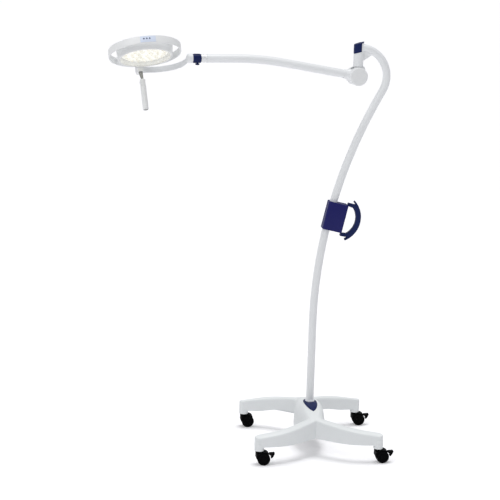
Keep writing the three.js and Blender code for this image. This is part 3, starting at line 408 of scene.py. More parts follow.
def smooth_line(points: Sequence[Sequence[float]], per_span: int = 6) -> list[Vector]:
    """Pass a Catmull-Rom curve through points.

    Args:
        points: the points it passes through.
        per_span: samples between each two of them.

    Returns:
        The samples.
    """
    rows = [Vector(p) for p in points]
    out: list[Vector] = []
    for i in range(len(rows) - 1):
        p0, p1, p2, p3 = rows[max(i - 1, 0)], rows[i], rows[i + 1], rows[min(i + 2, len(rows) - 1)]
        for k in range(per_span):
            t = k / per_span
            square = (2 * p0 - 5 * p1 + 4 * p2 - p3) * t**2
            cube = (3 * p1 - p0 - 3 * p2 + p3) * t**3
            out.append(0.5 * (2 * p1 + (p2 - p0) * t + square + cube))
    out.append(rows[-1])
    return out


def upright(outline: Sequence[Point], y0: float, y1: float) -> Shape:
    """Raise an outline drawn in XZ between two Y positions.

    Args:
        outline: its points as (x, z).
        y0: the lower Y.
        y1: the upper Y.

    Returns:
        The closed shape.
    """
    return prism(outline, -y1, -y0).moved(ALONG_Y)


def mesh_of(name: str, shape: Shape, place: Matrix) -> bpy.types.Mesh:
    """Turn a shape into a mesh with its normals outwards.

    Args:
        name: the mesh's name.
        shape: the shape, in millimetres.
        place: the frame it is drawn in.

    Returns:
        The mesh, in metres.
    """
    made = bpy.data.meshes.new(name)
    made.from_pydata([place @ p for p in shape.points], [], shape.faces)
    edit = bmesh.new()
    edit.from_mesh(made)
    bmesh.ops.remove_doubles(edit, verts=edit.verts, dist=1e-6)
    bmesh.ops.dissolve_degenerate(edit, dist=1e-7, edges=edit.edges)
    bmesh.ops.recalc_face_normals(edit, faces=edit.faces)
    edit.to_mesh(made)
    edit.free()
    return made


def distance_to(line: np.ndarray, x: np.ndarray, y: np.ndarray, closed: bool = False) -> np.ndarray:
    """Return each point's distance to a polyline.

    Args:
        line: the polyline's points, one per row.
        x: first coordinates.
        y: second coordinates.
        closed: whether the line's end joins its start.

    Returns:
        The distances.
    """
    spots = np.stack([np.asarray(x, float), np.asarray(y, float)], -1)
    starts = line if closed else line[:-1]
    ends = np.roll(line, -1, 0) if closed else line[1:]
    best = np.full(len(spots), 1e9)
    for a, b in zip(starts, ends):
        span = b - a
        share = np.clip(((spots - a) @ span) / max(float(span @ span), 1e-9), 0, 1)
        best = np.minimum(best, np.linalg.norm(spots - (a + share[:, None] * span), axis=1))
    return best


def offset_ring(ring: np.ndarray, inset: float) -> np.ndarray:
    """Move an anticlockwise closed line inwards.

    Args:
        ring: its points, one per row.
        inset: how far inwards.

    Returns:
        The moved points.
    """
    before = ring - np.roll(ring, 1, 0)
    after = np.roll(ring, -1, 0) - ring
    before = before / np.linalg.norm(before, axis=1)[:, None]
    after = after / np.linalg.norm(after, axis=1)[:, None]
    normal_a = np.stack([-before[:, 1], before[:, 0]], -1)
    normal_b = np.stack([-after[:, 1], after[:, 0]], -1)
    mean = normal_a + normal_b
    mean = mean / np.linalg.norm(mean, axis=1)[:, None]
    lean = np.clip((mean * normal_b).sum(1), 0.5, 1.0)
    return ring + mean * (inset / lean)[:, None]


def grid_inside(ring: np.ndarray, margin: float, step: float) -> list[Point]:
    """Fill a closed line with a square grid.

    Args:
        ring: the line's points, one per row.
        margin: the least distance from the line.
        step: the grid's pitch.

    Returns:
        The grid's points that lie inside.
    """
    reach = math.floor(np.abs(ring).max() / step) * step
    steps = np.arange(-reach, reach + 0.1, step)
    x, y = (side.ravel() for side in np.meshgrid(steps, steps))
    within = np.zeros(len(x), bool)
    for (ax, ay), (bx, by) in zip(ring, np.roll(ring, -1, 0)):
        if ay != by:
            within ^= ((ay > y) != (by > y)) & (x < ax + (y - ay) * (bx - ax) / (by - ay))
    keep = within & (distance_to(ring, x, y, True) > margin)
    return [(float(a), float(b)) for a, b in zip(x[keep], y[keep])]


def order_along(ring: np.ndarray, xy: np.ndarray, picks: list[int]) -> list[int]:
    """Sort points round a closed line.

    Args:
        ring: the line's points, one per row.
        xy: all points, one per row.
        picks: the rows to sort.

    Returns:
        The picked rows in their order round the line.
    """
    steps = np.linalg.norm(np.roll(ring, -1, 0) - ring, axis=1)
    run = np.concatenate([[0.0], np.cumsum(steps)])[:-1]

    def place(i: int) -> float:
        """Return how far round the line a point is."""
        p = xy[i]
        span = np.roll(ring, -1, 0) - ring
        share = np.clip(((p - ring) * span).sum(1) / (span * span).sum(1), 0, 1)
        gap = np.linalg.norm(p - (ring + share[:, None] * span), axis=1)
        k = int(np.argmin(gap))
        return float(run[k] + share[k] * steps[k])

    return sorted(picks, key=place)


def baked(piece: bpy.types.Object) -> bpy.types.Mesh:
    """Return an object's mesh with its modifiers applied."""
    scene_now = bpy.context.evaluated_depsgraph_get()
    return bpy.data.meshes.new_from_object(piece.evaluated_get(scene_now))


@dataclass
class Bench:
    """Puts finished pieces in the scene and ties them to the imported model."""

    pieces: list[str] = field(default_factory=list)

    def finish(
        self,
        name: str,
        body: str,
        shape: Shape | bpy.types.Mesh,
        place: Matrix,
        look: Finishes,
        nodes: Iterable[str] = (),
        slot: str = "",
        bevel: float = 0.0,
        crease: float = 35.0,
        cuts: Sequence[Shape] = (),
    ) -> bpy.types.Object:
        """Make one piece.

        Args:
            name: the piece's name.
            body: the CAD body that it rides on.
            shape: its shape in millimetres, or a mesh already in metres.
            place: the frame the shape is drawn in.
            look: its finish.
            nodes: the CAD nodes that it stands for.
            slot: the record's material slot; not used.
            bevel: width of its rounded edges in millimetres, 0 for none.
            crease: edges sharper than this many degrees stay crisp.
            cuts: shapes in the same frame to cut away.

        Returns:
            The object.
        """
        mesh = mesh_of(name, shape, place) if isinstance(shape, Shape) else shape
        piece = bpy.data.objects.new(name, mesh)
        bpy.context.scene.collection.objects.link(piece)
        cutters = []
        for i, cut in enumerate(cuts):
            cutter = bpy.data.objects.new(f"{name}_cut_{i}", mesh_of(f"{name}_cut_{i}", cut, place))
            bpy.context.scene.collection.objects.link(cutter)
            cutters.append(cutter)
            tool = piece.modifiers.new("cut", "BOOLEAN")
            tool.operation = "DIFFERENCE"
            tool.solver = "EXACT"
            tool.object = cutter
        if bevel > 0.0:
            edge = piece.modifiers.new("edge", "BEVEL")
            edge.width = bevel * MM
            edge.segments = 3
            edge.limit_method = "ANGLE"
            edge.angle_limit = math.radians(crease)
        if piece.modifiers:
            ready = baked(piece)
            piece.modifiers.clear()
            piece.data = ready
            ready.name = name
        for cutter in cutters:
            bpy.data.objects.remove(cutter)
        piece.data.materials.clear()
        piece.data.materials.append(look.value.material())
        piece.data.polygons.foreach_set("use_smooth", [True] * len(piece.data.polygons))
        piece.data.set_sharp_from_angle(angle=math.radians(crease))
        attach(piece, body)
        if nodes:
            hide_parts(*nodes)
        self.pieces.append(name)
        LOG.info("%s rides on %s (%d faces)", name, body, len(piece.data.polygons))
        return piece


# ---------------------------------------------------------------- repeated parts
class RingArray:
    """Geometry-node tree that sets copies of one part round a circle, with a turn for each."""

    def __init__(self) -> None:
        """Build the tree once."""
        tree = bpy.data.node_groups.new("parts_round_a_ring", "GeometryNodeTree")
        face = tree.interface
        face.new_socket("Geometry", in_out="INPUT", socket_type="NodeSocketGeometry")
        part = face.new_socket("Part", in_out="INPUT", socket_type="NodeSocketObject")
        count = face.new_socket("Count", in_out="INPUT", socket_type="NodeSocketInt")
        radius = face.new_socket("Ring radius", in_out="INPUT", socket_type="NodeSocketFloat")
        start = face.new_socket("Start angle", in_out="INPUT", socket_type="NodeSocketFloat")
        finish = face.new_socket("Finish", in_out="INPUT", socket_type="NodeSocketMaterial")
        face.new_socket("Geometry", in_out="OUTPUT", socket_type="NodeSocketGeometry")
        self.tree = tree
        self.keys = {"part": part, "count": count, "radius": radius, "start": start, "finish": finish}
        self.keys = {k: s.identifier for k, s in self.keys.items()}
        node = tree.nodes.new
        ins, outs = node("NodeGroupInput"), node("NodeGroupOutput")
        line = node("GeometryNodeMeshLine")
        index = node("GeometryNodeInputIndex")
        share = self._math(tree, "DIVIDE")
        angle = self._math(tree, "MULTIPLY_ADD")
        angle.inputs[1].default_value = 2 * math.pi
        spin = node("ShaderNodeCombineXYZ")
        info = node("GeometryNodeObjectInfo")
        setter = node("GeometryNodeInstanceOnPoints")
        arm = node("ShaderNodeCombineXYZ")
        rotate = node("ShaderNodeVectorRotate")
        rotate.rotation_type = "Z_AXIS"
        move = node("GeometryNodeSetPosition")
        real = node("GeometryNodeRealizeInstances")
        paint = node("GeometryNodeSetMaterial")
        link = tree.links.new
        link(ins.outputs["Count"], line.inputs["Count"])
        link(index.outputs[0], share.inputs[0])
        link(ins.outputs["Count"], share.inputs[1])
        link(share.outputs[0], angle.inputs[0])
        link(ins.outputs["Start angle"], angle.inputs[2])
        link(angle.outputs[0], spin.inputs["Z"])
        link(ins.outputs["Ring radius"], arm.inputs["X"])
        link(arm.outputs[0], rotate.inputs["Vector"])
        link(angle.outputs[0], rotate.inputs["Angle"])
        link(line.outputs[0], move.inputs["Geometry"])
        link(rotate.outputs[0], move.inputs["Position"])
        link(move.outputs[0], setter.inputs["Points"])
        link(ins.outputs["Part"], info.inputs["Object"])
        link(info.outputs["Geometry"], setter.inputs["Instance"])
        link(spin.outputs[0], setter.inputs["Rotation"])
        link(setter.outputs[0], real.inputs[0])
        link(real.outputs[0], paint.inputs["Geometry"])
        link(ins.outputs["Finish"], paint.inputs["Material"])
        link(paint.outputs[0], outs.inputs[0])

    @staticmethod
    def _math(tree: bpy.types.NodeTree, operation: str) -> bpy.types.Node:
        """Add a math node.

        Args:
            tree: the node tree.
            operation: what it does.

        Returns:
            The node.
        """
        made = tree.nodes.new("ShaderNodeMath")
        made.operation = operation
        return made

    def shape(self, part: Shape, count: int, radius: float, start: float, look: Finishes) -> Shape:
        """Repeat a part round the Z axis.

        Args:
            part: the part, drawn at the origin with +X pointing outwards.
            count: how many.
            radius: the ring's radius.
            start: angle of the first, in degrees.
            look: the finish that the tree sets.

        Returns:
            One shape that holds every copy.
        """
        seed = bpy.data.objects.new("seed", mesh_of("seed", part, Matrix.Identity(4)))
        host = bpy.data.objects.new("host", bpy.data.meshes.new("host"))
        for item in (seed, host):
            bpy.context.scene.collection.objects.link(item)
        tool = host.modifiers.new("ring", "NODES")
        tool.node_group = self.tree
        tool[self.keys["part"]] = seed
        tool[self.keys["count"]] = count
        tool[self.keys["radius"]] = float(radius)
        tool[self.keys["start"]] = math.radians(start)
        tool[self.keys["finish"]] = look.value.material()
        ready = baked(host)
        out = Shape([v.co.copy() for v in ready.vertices], [tuple(f.vertices) for f in ready.polygons])
        bpy.data.objects.remove(host)
        bpy.data.objects.remove(seed)
        bpy.data.meshes.remove(ready)
        return out


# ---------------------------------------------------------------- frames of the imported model
def joint(name: str) -> dict:
    """Return a joint of the record by name."""
    return next(j for j in frame["joints"] if j["name"] == name)


def axes_frame(origin_m: Vector, x: Vector, y: Vector) -> Matrix:
    """Make a working frame.

    Args:
        origin_m: its origin in metres.
        x: its first axis.
        y: its second axis.

    Returns:
        The matrix from millimetres in the frame to metres in the row.
    """
    z = x.cross(y).normalized()
    basis = Matrix((x, y, z)).transposed().to_4x4()
    return Matrix.Translation(origin_m) @ basis @ Matrix.Scale(MM, 4)


@dataclass(frozen=True)
class Frames:
    """The working frames, each from millimetres to metres in the row."""

    stand: Matrix
    column: Matrix
    arm: Matrix
    tip: Matrix
    yoke: Matrix
    head: Matrix
    supply: Matrix

    @staticmethod
    def read(pole: "Pole") -> "Frames":
        """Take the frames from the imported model's joints and boxes.

        Args:
            pole: the pole, whose bend says where the supply box stands and how it leans.

        Returns:
            The frames.
        """
        low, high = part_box("pole_collar")
        stand = shift((low.x + high.x) / 2, (low.y + high.y) / 2, 0) @ Matrix.Scale(MM, 4)
        along = Vector(joint("yoke_roll")["axis"])
        across = -Vector(joint("arm_lift")["axis"])
        knuckle = Vector(joint("arm_lift")["pos_m"])
        column = axes_frame(knuckle, along, across)
        arm = column @ turn(-Arm.rise, "Y")
        roll = Vector(joint("yoke_roll")["pos_m"])
        tip = axes_frame(roll - along * Arm.boss_offset * MM, along, across)
        yoke = axes_frame(roll, along, Vector(joint("head_tilt")["axis"]))
        pivot = Vector(joint("head_tilt")["pos_m"])
        head = axes_frame(pivot, along, Vector(joint("head_tilt")["axis"])) @ turn(Head.tilt, "Y")
        x, lean = pole.at(SupplyBox.height)
        supply = stand @ shift(x, 0, SupplyBox.height) @ turn(lean - SupplyBox.straighten, "Y")
        return Frames(stand, column, arm, tip, yoke, head, supply)


# ---------------------------------------------------------------- base
@dataclass
class CastBase:
    """The white casting with its four swept legs, and the trim, collar and weight on it."""

    caster_reach: float = 272.0
    leg_width: float = 45.0
    bottom: float = 84.0
    outer_top: float = 169.0
    top_fall: float = 0.155
    top_rise: float = 7.0
    ridge: float = 206.5
    shoulder: float = 125.0
    wall: float = 5.0
    boss_radius: float = 21.8
    boss_bottom: float = 66.0
    edge: float = 6.0
    outer_edge: tuple[Point, ...] = (
        (0, 182), (30, 201), (60, 222.5), (90, 244), (120, 262), (150, 275), (180, 283), (212, 287.5),
        (245, 289.5),
        (270, 290.5),
    )
    inner_edge: tuple[Point, ...] = (
        (272, 247.5), (248, 245.5), (224, 243), (200, 239.5), (178, 233.5), (156, 226), (134, 216),
        (114, 205),
        (96, 193), (80, 182), (64, 171.5), (52, 163), (44.5, 154), (42.5, 142), (46, 126), (50.5, 108),
        (56.5, 88),
        (61, 68), (65, 45), (67.8, 20), (68.4, 0),
    )
    arch: float = 20.0

    def quarter(self) -> list[Point]:
        """Return the outline of one quarter in plan, from the front crease round the leg to the waist."""
        tip = arc(self.caster_reach, 269.0, 21.8, 84, -84, 10)
        outer = [(p.x, p.y) for p in smooth_line(self.outer_edge, 3)]
        inner = [(p.x, p.y) for p in smooth_line(self.inner_edge, 3)]
        return outer + tip + inner

    def outline(self) -> list[Point]:
        """Return the whole outline in plan, anticlockwise."""
        quarter = self.quarter()
        one = list(reversed(quarter))
        two = [(-x, y) for x, y in quarter[1:]]
        three = [(-x, -y) for x, y in reversed(quarter[:-1])]
        four = [(x, -y) for x, y in quarter[1:-1]]
        return one + two + three + four

    def half_waist(self, y: np.ndarray) -> np.ndarray:
        """Return the hub's half width at each |y|."""
        return np.interp(y, (0, 20, 45, 68, 88, 108, 126, 142, 240),
            (68.4, 67.8, 65, 61, 56.5, 50.5, 46, 42.5, 40))

    def foot(self, x: np.ndarray, y: np.ndarray) -> np.ndarray:
        """Return the lower rim's height, which arches up on the walls between the legs.

        Args:
            x: positions across.
            y: positions along.

        Returns:
            The heights.
        """
        x, y = np.abs(x), np.abs(y)
        line = np.array([(p.x, p.y) for p in smooth_line(self.outer_edge, 4)])
        inner = np.clip((distance_to(line, x, y) - 14) / 14, 0, 1)
        rise = np.clip((215 - x) / 130, 0, 1) * np.clip((y - 100) / 50, 0, 1) * inner
        return self.bottom + self.arch * rise * rise * (3 - 2 * rise)

    def top(self, x: np.ndarray, y: np.ndarray) -> np.ndarray:
        """Return the height of the upper surface, before its edges are rounded.

        Args:
            x: positions across.
            y: positions along.

        Returns:
            The heights.
        """
        x, y = np.abs(x), np.abs(y)
        line = np.array([(p.x, p.y) for p in smooth_line(self.outer_edge, 4)])
        inward = distance_to(line, x, y)
        across = np.clip(inward / self.leg_width, 0, 1)
        crown = self.top_rise * (1 - (1 - across) ** 2)
        leg = self.outer_top - self.top_fall * x + crown
        past = np.clip((inward - self.leg_width + 6) / 26, 0, 1.6)
        leg = leg - 60 * past * past
        ridge = np.interp(
            y, (0, 32, 70, 113, 150, 182, 215, 260),
            (self.ridge, self.ridge - 1, 200, 189.5, 179.5, 170.5, 160, 140)
        )
        share = np.clip(x / self.half_waist(y), 0, 1)
        body = self.shoulder + (ridge - self.shoulder) * np.power(np.clip(1 - share**5.2, 0, 1), 0.68)
        soft = 5.0
        gap = np.clip(0.5 + 0.5 * (body - leg) / soft, 0, 1)
        return leg + (body - leg) * gap + soft * gap * (1 - gap)

    def rounded_top(self, x: np.ndarray, y: np.ndarray, inset: np.ndarray) -> np.ndarray:
        """Round the edge of the upper surface over.

        Args:
            x: positions across.
            y: positions along.
            inset: each position's distance from the outline.

        Returns:
            The heights.
        """
        near = np.clip(1 - inset / self.edge, 0, 1)
        return self.top(x, y) - self.edge * (1 - np.sqrt(np.clip(1 - near * near, 0, 1)))

    def skin(self) -> Shape:
        """Return the casting: upper surface, walls, lip and underside."""
        outline = self.outline()
        ring = np.array(outline)
        insets = (0.0, 0.8, 2.2, 4.2, 6.5, 10.0)
        rings = [offset_ring(ring, d) for d in insets]
        edges: list[tuple[int, int]] = []
        points: list[Point] = []
        for r in rings:
            first = len(points)
            points += [tuple(p) for p in r]
            edges += [(first + i, first + (i + 1) % len(r)) for i in range(len(r))]
        points += grid_inside(ring, 13.0, 7.0)
        flat = [Vector(p) for p in points]
        verts, _, faces, *_ = delaunay_2d_cdt(flat, edges, [list(range(len(outline)))], 1, 1e-4)
        xy = np.array([(v.x, v.y) for v in verts])
        inset = distance_to(ring, xy[:, 0], xy[:, 1], True)
        heights = self.rounded_top(xy[:, 0], xy[:, 1], inset)
        feet = self.foot(xy[:, 0], xy[:, 1])
        shape = Shape([Vector((p[0], p[1], h)) for p, h in zip(xy, heights)])
        shape.faces += [tuple(f) for f in faces]
        on_edge = [i for i in range(len(verts)) if inset[i] < 0.05]
        centre_order = order_along(ring, xy, on_edge)
        lip: dict[tuple[float, int], int] = {}
        lip_levels = (0.86, 0.6, 0.3, 0.0)
        for level in lip_levels:
            for i in centre_order:
                lip[(level, i)] = len(shape.points)
                z = feet[i] + (heights[i] - feet[i]) * level
                shape.points.append(Vector((xy[i][0], xy[i][1], z)))
        count = len(centre_order)
        for upper, lower in zip((None, *lip_levels), lip_levels):
            for k in range(count):
                a, b = centre_order[k], centre_order[(k + 1) % count]
                ua = a if upper is None else lip[(upper, a)]
                ub = b if upper is None else lip[(upper, b)]
                shape.faces.append((ua, lip[(lower, a)], lip[(lower, b)], ub))
        inner = offset_ring(np.array([xy[i] for i in centre_order]), self.wall)
        roof = self.top(inner[:, 0], inner[:, 1]) - self.wall - self.edge
        start = len(shape.points)
        shape.points += [Vector((p[0], p[1], z)) for p,
            z in zip(inner, self.foot(inner[:, 0], inner[:, 1]))]
        shape.points += [Vector((p[0], p[1], z)) for p, z in zip(inner, roof)]
        for k in range(count):
            n = (k + 1) % count
            low_a, low_b = lip[(0.0, centre_order[k])], lip[(0.0, centre_order[n])]
            shape.faces.append((low_a, start + k, start + n, low_b))
            shape.faces.append((start + k, start + count + k, start + count + n, start + n))
        cap = [Vector(p) for p in inner]
        cap_edges = [(i, (i + 1) % count) for i in range(count)]
        cap += [Vector(p) for p in grid_inside(inner, 5.0, 10.0)]
        cap_verts, _, cap_faces, *_ = delaunay_2d_cdt(cap, cap_edges, [list(range(count))], 1, 1e-4)
        first = len(shape.points)
        cx = np.array([v.x for v in cap_verts])
        cy = np.array([v.y for v in cap_verts])
        cz = self.top(cx, cy) - self.wall - self.edge
        shape.points += [Vector((a, b, c)) for a, b, c in zip(cx, cy, cz)]
        shape.faces += [tuple(first + i for i in reversed(f)) for f in cap_faces]
        return shape

    def bosses(self) -> Shape:
        """Return the four caster bosses under the leg ends."""
        profile = fillet(
            [(0, self.boss_bottom), (self.boss_radius, self.boss_bottom, 1.6),
            (self.boss_radius, self.bottom + 22),
             (0, self.bottom + 22)]
        )
        one = turned(profile, 48)
        shape = Shape()
        for sx in (-1, 1):
            for sy in (-1, 1):
                shape.add(one, shift(sx * self.caster_reach, sy * self.caster_reach, 0))
        return shape

    def shield(self) -> Shape:
        """Return the shield-shaped trim that follows the hub's ridge."""
        half = [
            (0, -106), (11, -93), (20.5, -74), (27, -50), (30.5, -25), (31, -2), (28, 17), (20, 32),
            (9.5, 37), (0, 32),
        ]
        right = smooth_line(half, 4)
        edge = [(p.x, p.y) for p in right] + [(-p.x, p.y) for p in reversed(right[1:-1])]
        middle = Vector((0, -22))
        shape = Shape()
        shares = ((0.0, 3.6), (0.25, 3.6), (0.5, 3.5), (0.72, 3.3), (0.88, 3.0), (0.955, 2.4), (0.99, 1.4),
            (1.0, 0.2))
        rows = []
        for share, lift in shares:
            spots = [middle] if share == 0 else [middle + (Vector(p) - middle) * share for p in edge]
            x = np.array([s.x for s in spots])
            y = np.array([s.y for s in spots])
            z = self.top(x, y) + lift
            rows.append(list(range(len(shape.points), len(shape.points) + len(spots))))
            shape.points += [Vector((a, b, c)) for a, b, c in zip(x, y, z)]
        base = [Vector(p) for p in edge]
        z = self.top(np.array([p.x for p in base]), np.array([p.y for p in base])) - 3
        rows.append(list(range(len(shape.points), len(shape.points) + len(base))))
        shape.points += [Vector((p.x, p.y, c)) for p, c in zip(base, z)]
        count = len(edge)
        for k in range(count):
            shape.faces.append((rows[0][0], rows[1][k], rows[1][(k + 1) % count]))
            for a, b in zip(rows[1:], rows[2:]):
                n = (k + 1) % count
                shape.faces.append((a[k], b[k], b[n], a[n]))
        shape.faces.append(tuple(rows[-1]))
        return shape

    def build(self, bench: Bench, frames: Frames) -> None:
        """Make the base's pieces.

        Args:
            bench: where the pieces are finished.
            frames: the frames they are drawn in.
        """
        skin = self.skin().add(self.bosses())
        bench.finish(
            "base_shell", "stand", skin, frames.stand, Finishes.CAST_WHITE, ["base_casting"],
            "white_metal", crease=28
        )
        bench.finish(
            "pole_shield", "stand", self.shield(), frames.stand, Finishes.NAVY, ["hub_trim"],
            "navy_plastic", crease=40
        )
        collar = fillet(
            [(17.7, 206), (21.6, 206, 0.6), (22, 213.5, 3.0), (19, 217.3, 1.0), (17.7, 217.3)], closed=True
        )
        bench.finish(
            "pole_foot_collar", "stand", turned(collar, 64), frames.stand, Finishes.COLLAR_WHITE,
            ["pole_collar"],
            "white_plastic",
        )
        plate = prism(fillet([(-42, -105, 8), (42, -105, 8), (42, 105, 8), (-42, 105, 8)], closed=True),
            69.8, 83.6)
        bench.finish(
            "ballast_weight", "stand", plate, frames.stand, Finishes.STEEL, ["ballast_plate"], "steel",
            bevel=1.0
        )
        head = turned(fillet([(0, 61.5), (10.5, 61.5, 1.2), (11.8, 69.2, 0.3), (0, 69.2)]), 6)
        bench.finish("pole_bolt_head", "stand", head, frames.stand, Finishes.STEEL, ["pole_bolt"], "steel",
            bevel=0.5)


# ---------------------------------------------------------------- casters
@dataclass
class Caster:
    """A twin-wheel caster, drawn with its swivel axis on Z and its wheel trailing towards +X."""

    corner: str
    braked: bool
    wheel: float = 29.0
    trail: float = 20.0
    wheel_width: float = 17.0
    half_gap: float = 5.5
    hood: float = 33.5
    hood_half: float = 23.0
    neck: float = 12.9
    neck_top: float = 65.4

    def wheels(self) -> Shape:
        """Return both discs on their axle."""
        inner, outer = self.half_gap, self.half_gap + self.wheel_width
        r = self.wheel
        disc = fillet(
            [
                (0, inner), (r - 1.5, inner, 0.5), (r, inner + 2.5, 1.0), (r, outer - 3.5, 1.5),
                (r - 2.6, outer, 1.8),
                (r - 7.5, outer, 1.0), (r - 9, outer - 3.2, 1.0), (12, outer - 3.4, 1.2),
                (10.5, outer - 1.0, 0.8),
                (5, outer - 0.6, 0.4), (4.6, outer - 1.6, 0.2), (0, outer - 1.6),
            ],
            3,
        )
        one = turned(disc, 48)
        axle = turned([(0, -inner - 1), (4, -inner - 1), (4, inner + 1), (0, inner + 1)], 20)
        both = Shape().add(one).add(one, turn(180, "X")).add(axle)
        return both.moved(shift(self.trail, 0, self.wheel) @ ALONG_Y)

    def hood_shape(self) -> Shape:
        """Return the hood: canopy over the wheels, middle plate and neck."""
        cx, cz = self.trail, self.wheel
        canopy = [
            *arc(cx, cz, self.hood, 48, 126, 14), (-13.8, self.neck_top - 7), (-14, cz + 3),
            (-11.4, cz + 2),
            *arc(cx, cz, self.wheel + 1.5, 170, 48, 18),
        ]
        plate = [
            *arc(cx, cz, self.hood - 1, 46, 150, 14), (-12.6, cz + 6), (4, cz - 11), (cx + 2, cz - 13.5),
            (cx + 10, cz - 12), (cx + 17, cz - 5), (cx + 22, cz + 9),
        ]
        shape = upright(canopy, -self.hood_half + 0.2, self.hood_half - 0.2)
        shape.add(upright(plate, -4.3, 4.3))
        neck = fillet([(0, cz + 31), (self.neck, cz + 31), (self.neck, self.neck_top, 1.0),
            (0, self.neck_top)])
        return shape.add(turned(neck, 40))

    def pedal(self) -> Shape:
        """Return the forked brake pedal behind the wheels."""
        px, pz = self.trail + self.wheel - 0.5, self.wheel + 19
        outline = fillet(
            [
                (px - 4.3, pz - 1.5, 3), (px - 3, pz + 4.3, 3), (px + 3, pz + 5, 2), (px + 12, pz + 5.4, 2),
                (px + 22, pz + 6.4, 1), (px + 20.5, pz, 2), (px + 15, pz - 11, 4),
                (px + 8.5, pz - 18.3, 1.5),
                (px + 5, pz - 17, 1), (px + 8.5, pz - 9, 3), (px + 8, pz - 3.4, 2), (px + 2, pz - 4.4, 2),
            ],
            closed=True,
        )
        return upright(outline, -11.8, 11.8)

    def build(self, bench: Bench, frames: Frames) -> None:
        """Make the caster's pieces.

        Args:
            bench: where the pieces are finished.
            frames: not used; each piece is placed from the caster's swivel joint.
        """
        spot = Vector(joint(f"caster_swivel_{self.corner}")["pos_m"])
        place = shift(spot.x, spot.y, 0) @ Matrix.Scale(MM, 4)
        body = f"caster_{self.corner}"
        bench.finish(
            f"caster_fork_{self.corner}", body, self.hood_shape(), place, Finishes.BLACK,
            [f"caster_hood_{self.corner}"], "black_plastic", bevel=0.9, crease=50,
        )
        bench.finish(
            f"twin_wheels_{self.corner}", f"caster_wheels_{self.corner}", self.wheels(), place,
            Finishes.TREAD,
            [f"caster_wheels_{self.corner}"], "black_wheel",
        )
        stem = fillet([(0, 60), (5.5, 60), (5.5, 103.6, 0.8), (0, 103.6)])
        bench.finish(
            f"caster_pin_{self.corner}", body, turned(stem, 24), place, Finishes.STEEL,
            [f"caster_stem_{self.corner}"], "steel",
        )
        if self.braked:
            bench.finish(
                f"foot_brake_{self.corner}", f"brake_pedal_{self.corner}", self.pedal(), place,
                Finishes.BLACK,
                [f"brake_pedal_{self.corner}"], "black_plastic", bevel=0.9, crease=50,
            )


# ---------------------------------------------------------------- pole
@dataclass
class Pole:
    """The bent steel tube, its hook, and the swivel sleeve that the hook carries."""

    radius: float = 17.5
    foot: float = 150.0
    straight_top: float = 575.0
    bend: float = 2235.0
    lean: float = 28.6
    upper_run: float = 15.0
    hook: float = 129.4
    sleeve: float = 22.5
    sleeve_bottom: float = 1766.0
    sleeve_top: float = 1867.0
    slant: float = 17.0
    cap_height: float = 40.0
    saddle: float = 10.0

    def at(self, z: float) -> tuple[float, float]:
        """Find the tube's axis at a height of the long bend.

        Args:
            z: the height.

        Returns:
            Its x, and its lean in degrees.
        """
        angle = math.asin(max(0.0, z - self.straight_top) / self.bend)
        return self.bend * (1 - math.cos(angle)), math.degrees(angle)

    def line(self) -> tuple[list[Vector], Vector]:
        """Return the tube's middle line, and the centre of the hook."""
        points = [Vector((0, 0, self.foot)), Vector((0, 0, 350)), Vector((0, 0, self.straight_top))]
        lean = math.radians(self.lean)
        for i in range(1, 41):
            a = lean * i / 40
            points.append(
                Vector((self.bend * (1 - math.cos(a)), 0, self.straight_top + self.bend * math.sin(a)))
            )
        along = Vector((math.sin(lean), 0, math.cos(lean)))
        start = points[-1] + along * self.upper_run
        centre = start + Vector((-along.z, 0, along.x)) * self.hook
        sweep = math.pi / 2 + lean - 0.09
        for i in range(49):
            a = -lean + sweep * i / 48
            points.append(centre + Vector((math.cos(a), 0, math.sin(a))) * self.hook)
        return points, centre

    @property
    def swivel(self) -> float:
        """Return the x of the arm's swivel axis."""
        return self.line()[1].x - 2.5

    def build(self, bench: Bench, frames: Frames) -> None:
        """Make the pole's pieces.

        Args:
            bench: where the pieces are finished.
            frames: the frames they are drawn in.
        """
        points, _ = self.line()
        tube = swept(points, circle(self.radius, 56), Vector((0, 1, 0)))
        axis = shift(self.swivel)
        inside = self.sleeve - 2
        low, high = self.sleeve_bottom - 66, self.sleeve_top + 33
        room = turned([(0, low), (inside, low), (inside, high), (0, high)], 64).moved(axis)
        bench.finish(
            "curved_pole", "stand", tube, frames.stand, Finishes.POWDER_WHITE, ["pole_tube"], "white_metal",
            cuts=[room],
        )
        cap_top = self.sleeve_top + 2
        cap_foot = cap_top - self.cap_height
        lower = prism(circle(self.sleeve, 64), self.sleeve_bottom, self.slanted(cap_foot - 0.4))
        chord = math.degrees(math.acos(self.saddle / self.sleeve))
        right = arc(0, 0, self.sleeve, -chord, chord, 24)
        upper = prism(right, self.slanted(cap_foot - 4), self.slanted(cap_top - 3.8))
        sleeve = Shape().add(lower).add(upper).add(self.weld())
        bench.finish(
            "arm_sleeve", "stand", sleeve.moved(axis), frames.stand, Finishes.POWDER_WHITE,
            ["swivel_sleeve"],
            "white_metal", bevel=0.8, crease=40,
        )
        over = self.sleeve + 0.5
        left = arc(0, 0, over, chord + 0.8, 360 - chord - 0.8, 56)
        cap = prism(left, self.slanted(cap_foot), self.slanted(cap_top - 0.2))
        cap.add(prism(circle(over, 64), self.slanted(cap_top - 3.4), self.slanted(cap_top)))
        bench.finish(
            "sleeve_end_cap", "stand", cap.moved(axis), frames.stand, Finishes.NAVY, ["sleeve_cap"],
            "navy_plastic", bevel=0.7, crease=40,
        )

    def slanted(self, level: float) -> Level:
        """Return a height that rises along X with the cap's slant, from `level` on the axis."""
        rise = math.tan(math.radians(self.slant))
        return lambda x, y: level + x * rise

    def weld(self) -> Shape:
        """Return the gusset below the hook, drawn from the swivel axis."""
        outline = [(19, 1786), (24, 1792), (45, 1806), (62, 1817), (72, 1823), (72, 1840), (19, 1846)]
        return upright(outline, -3.9, 3.9)


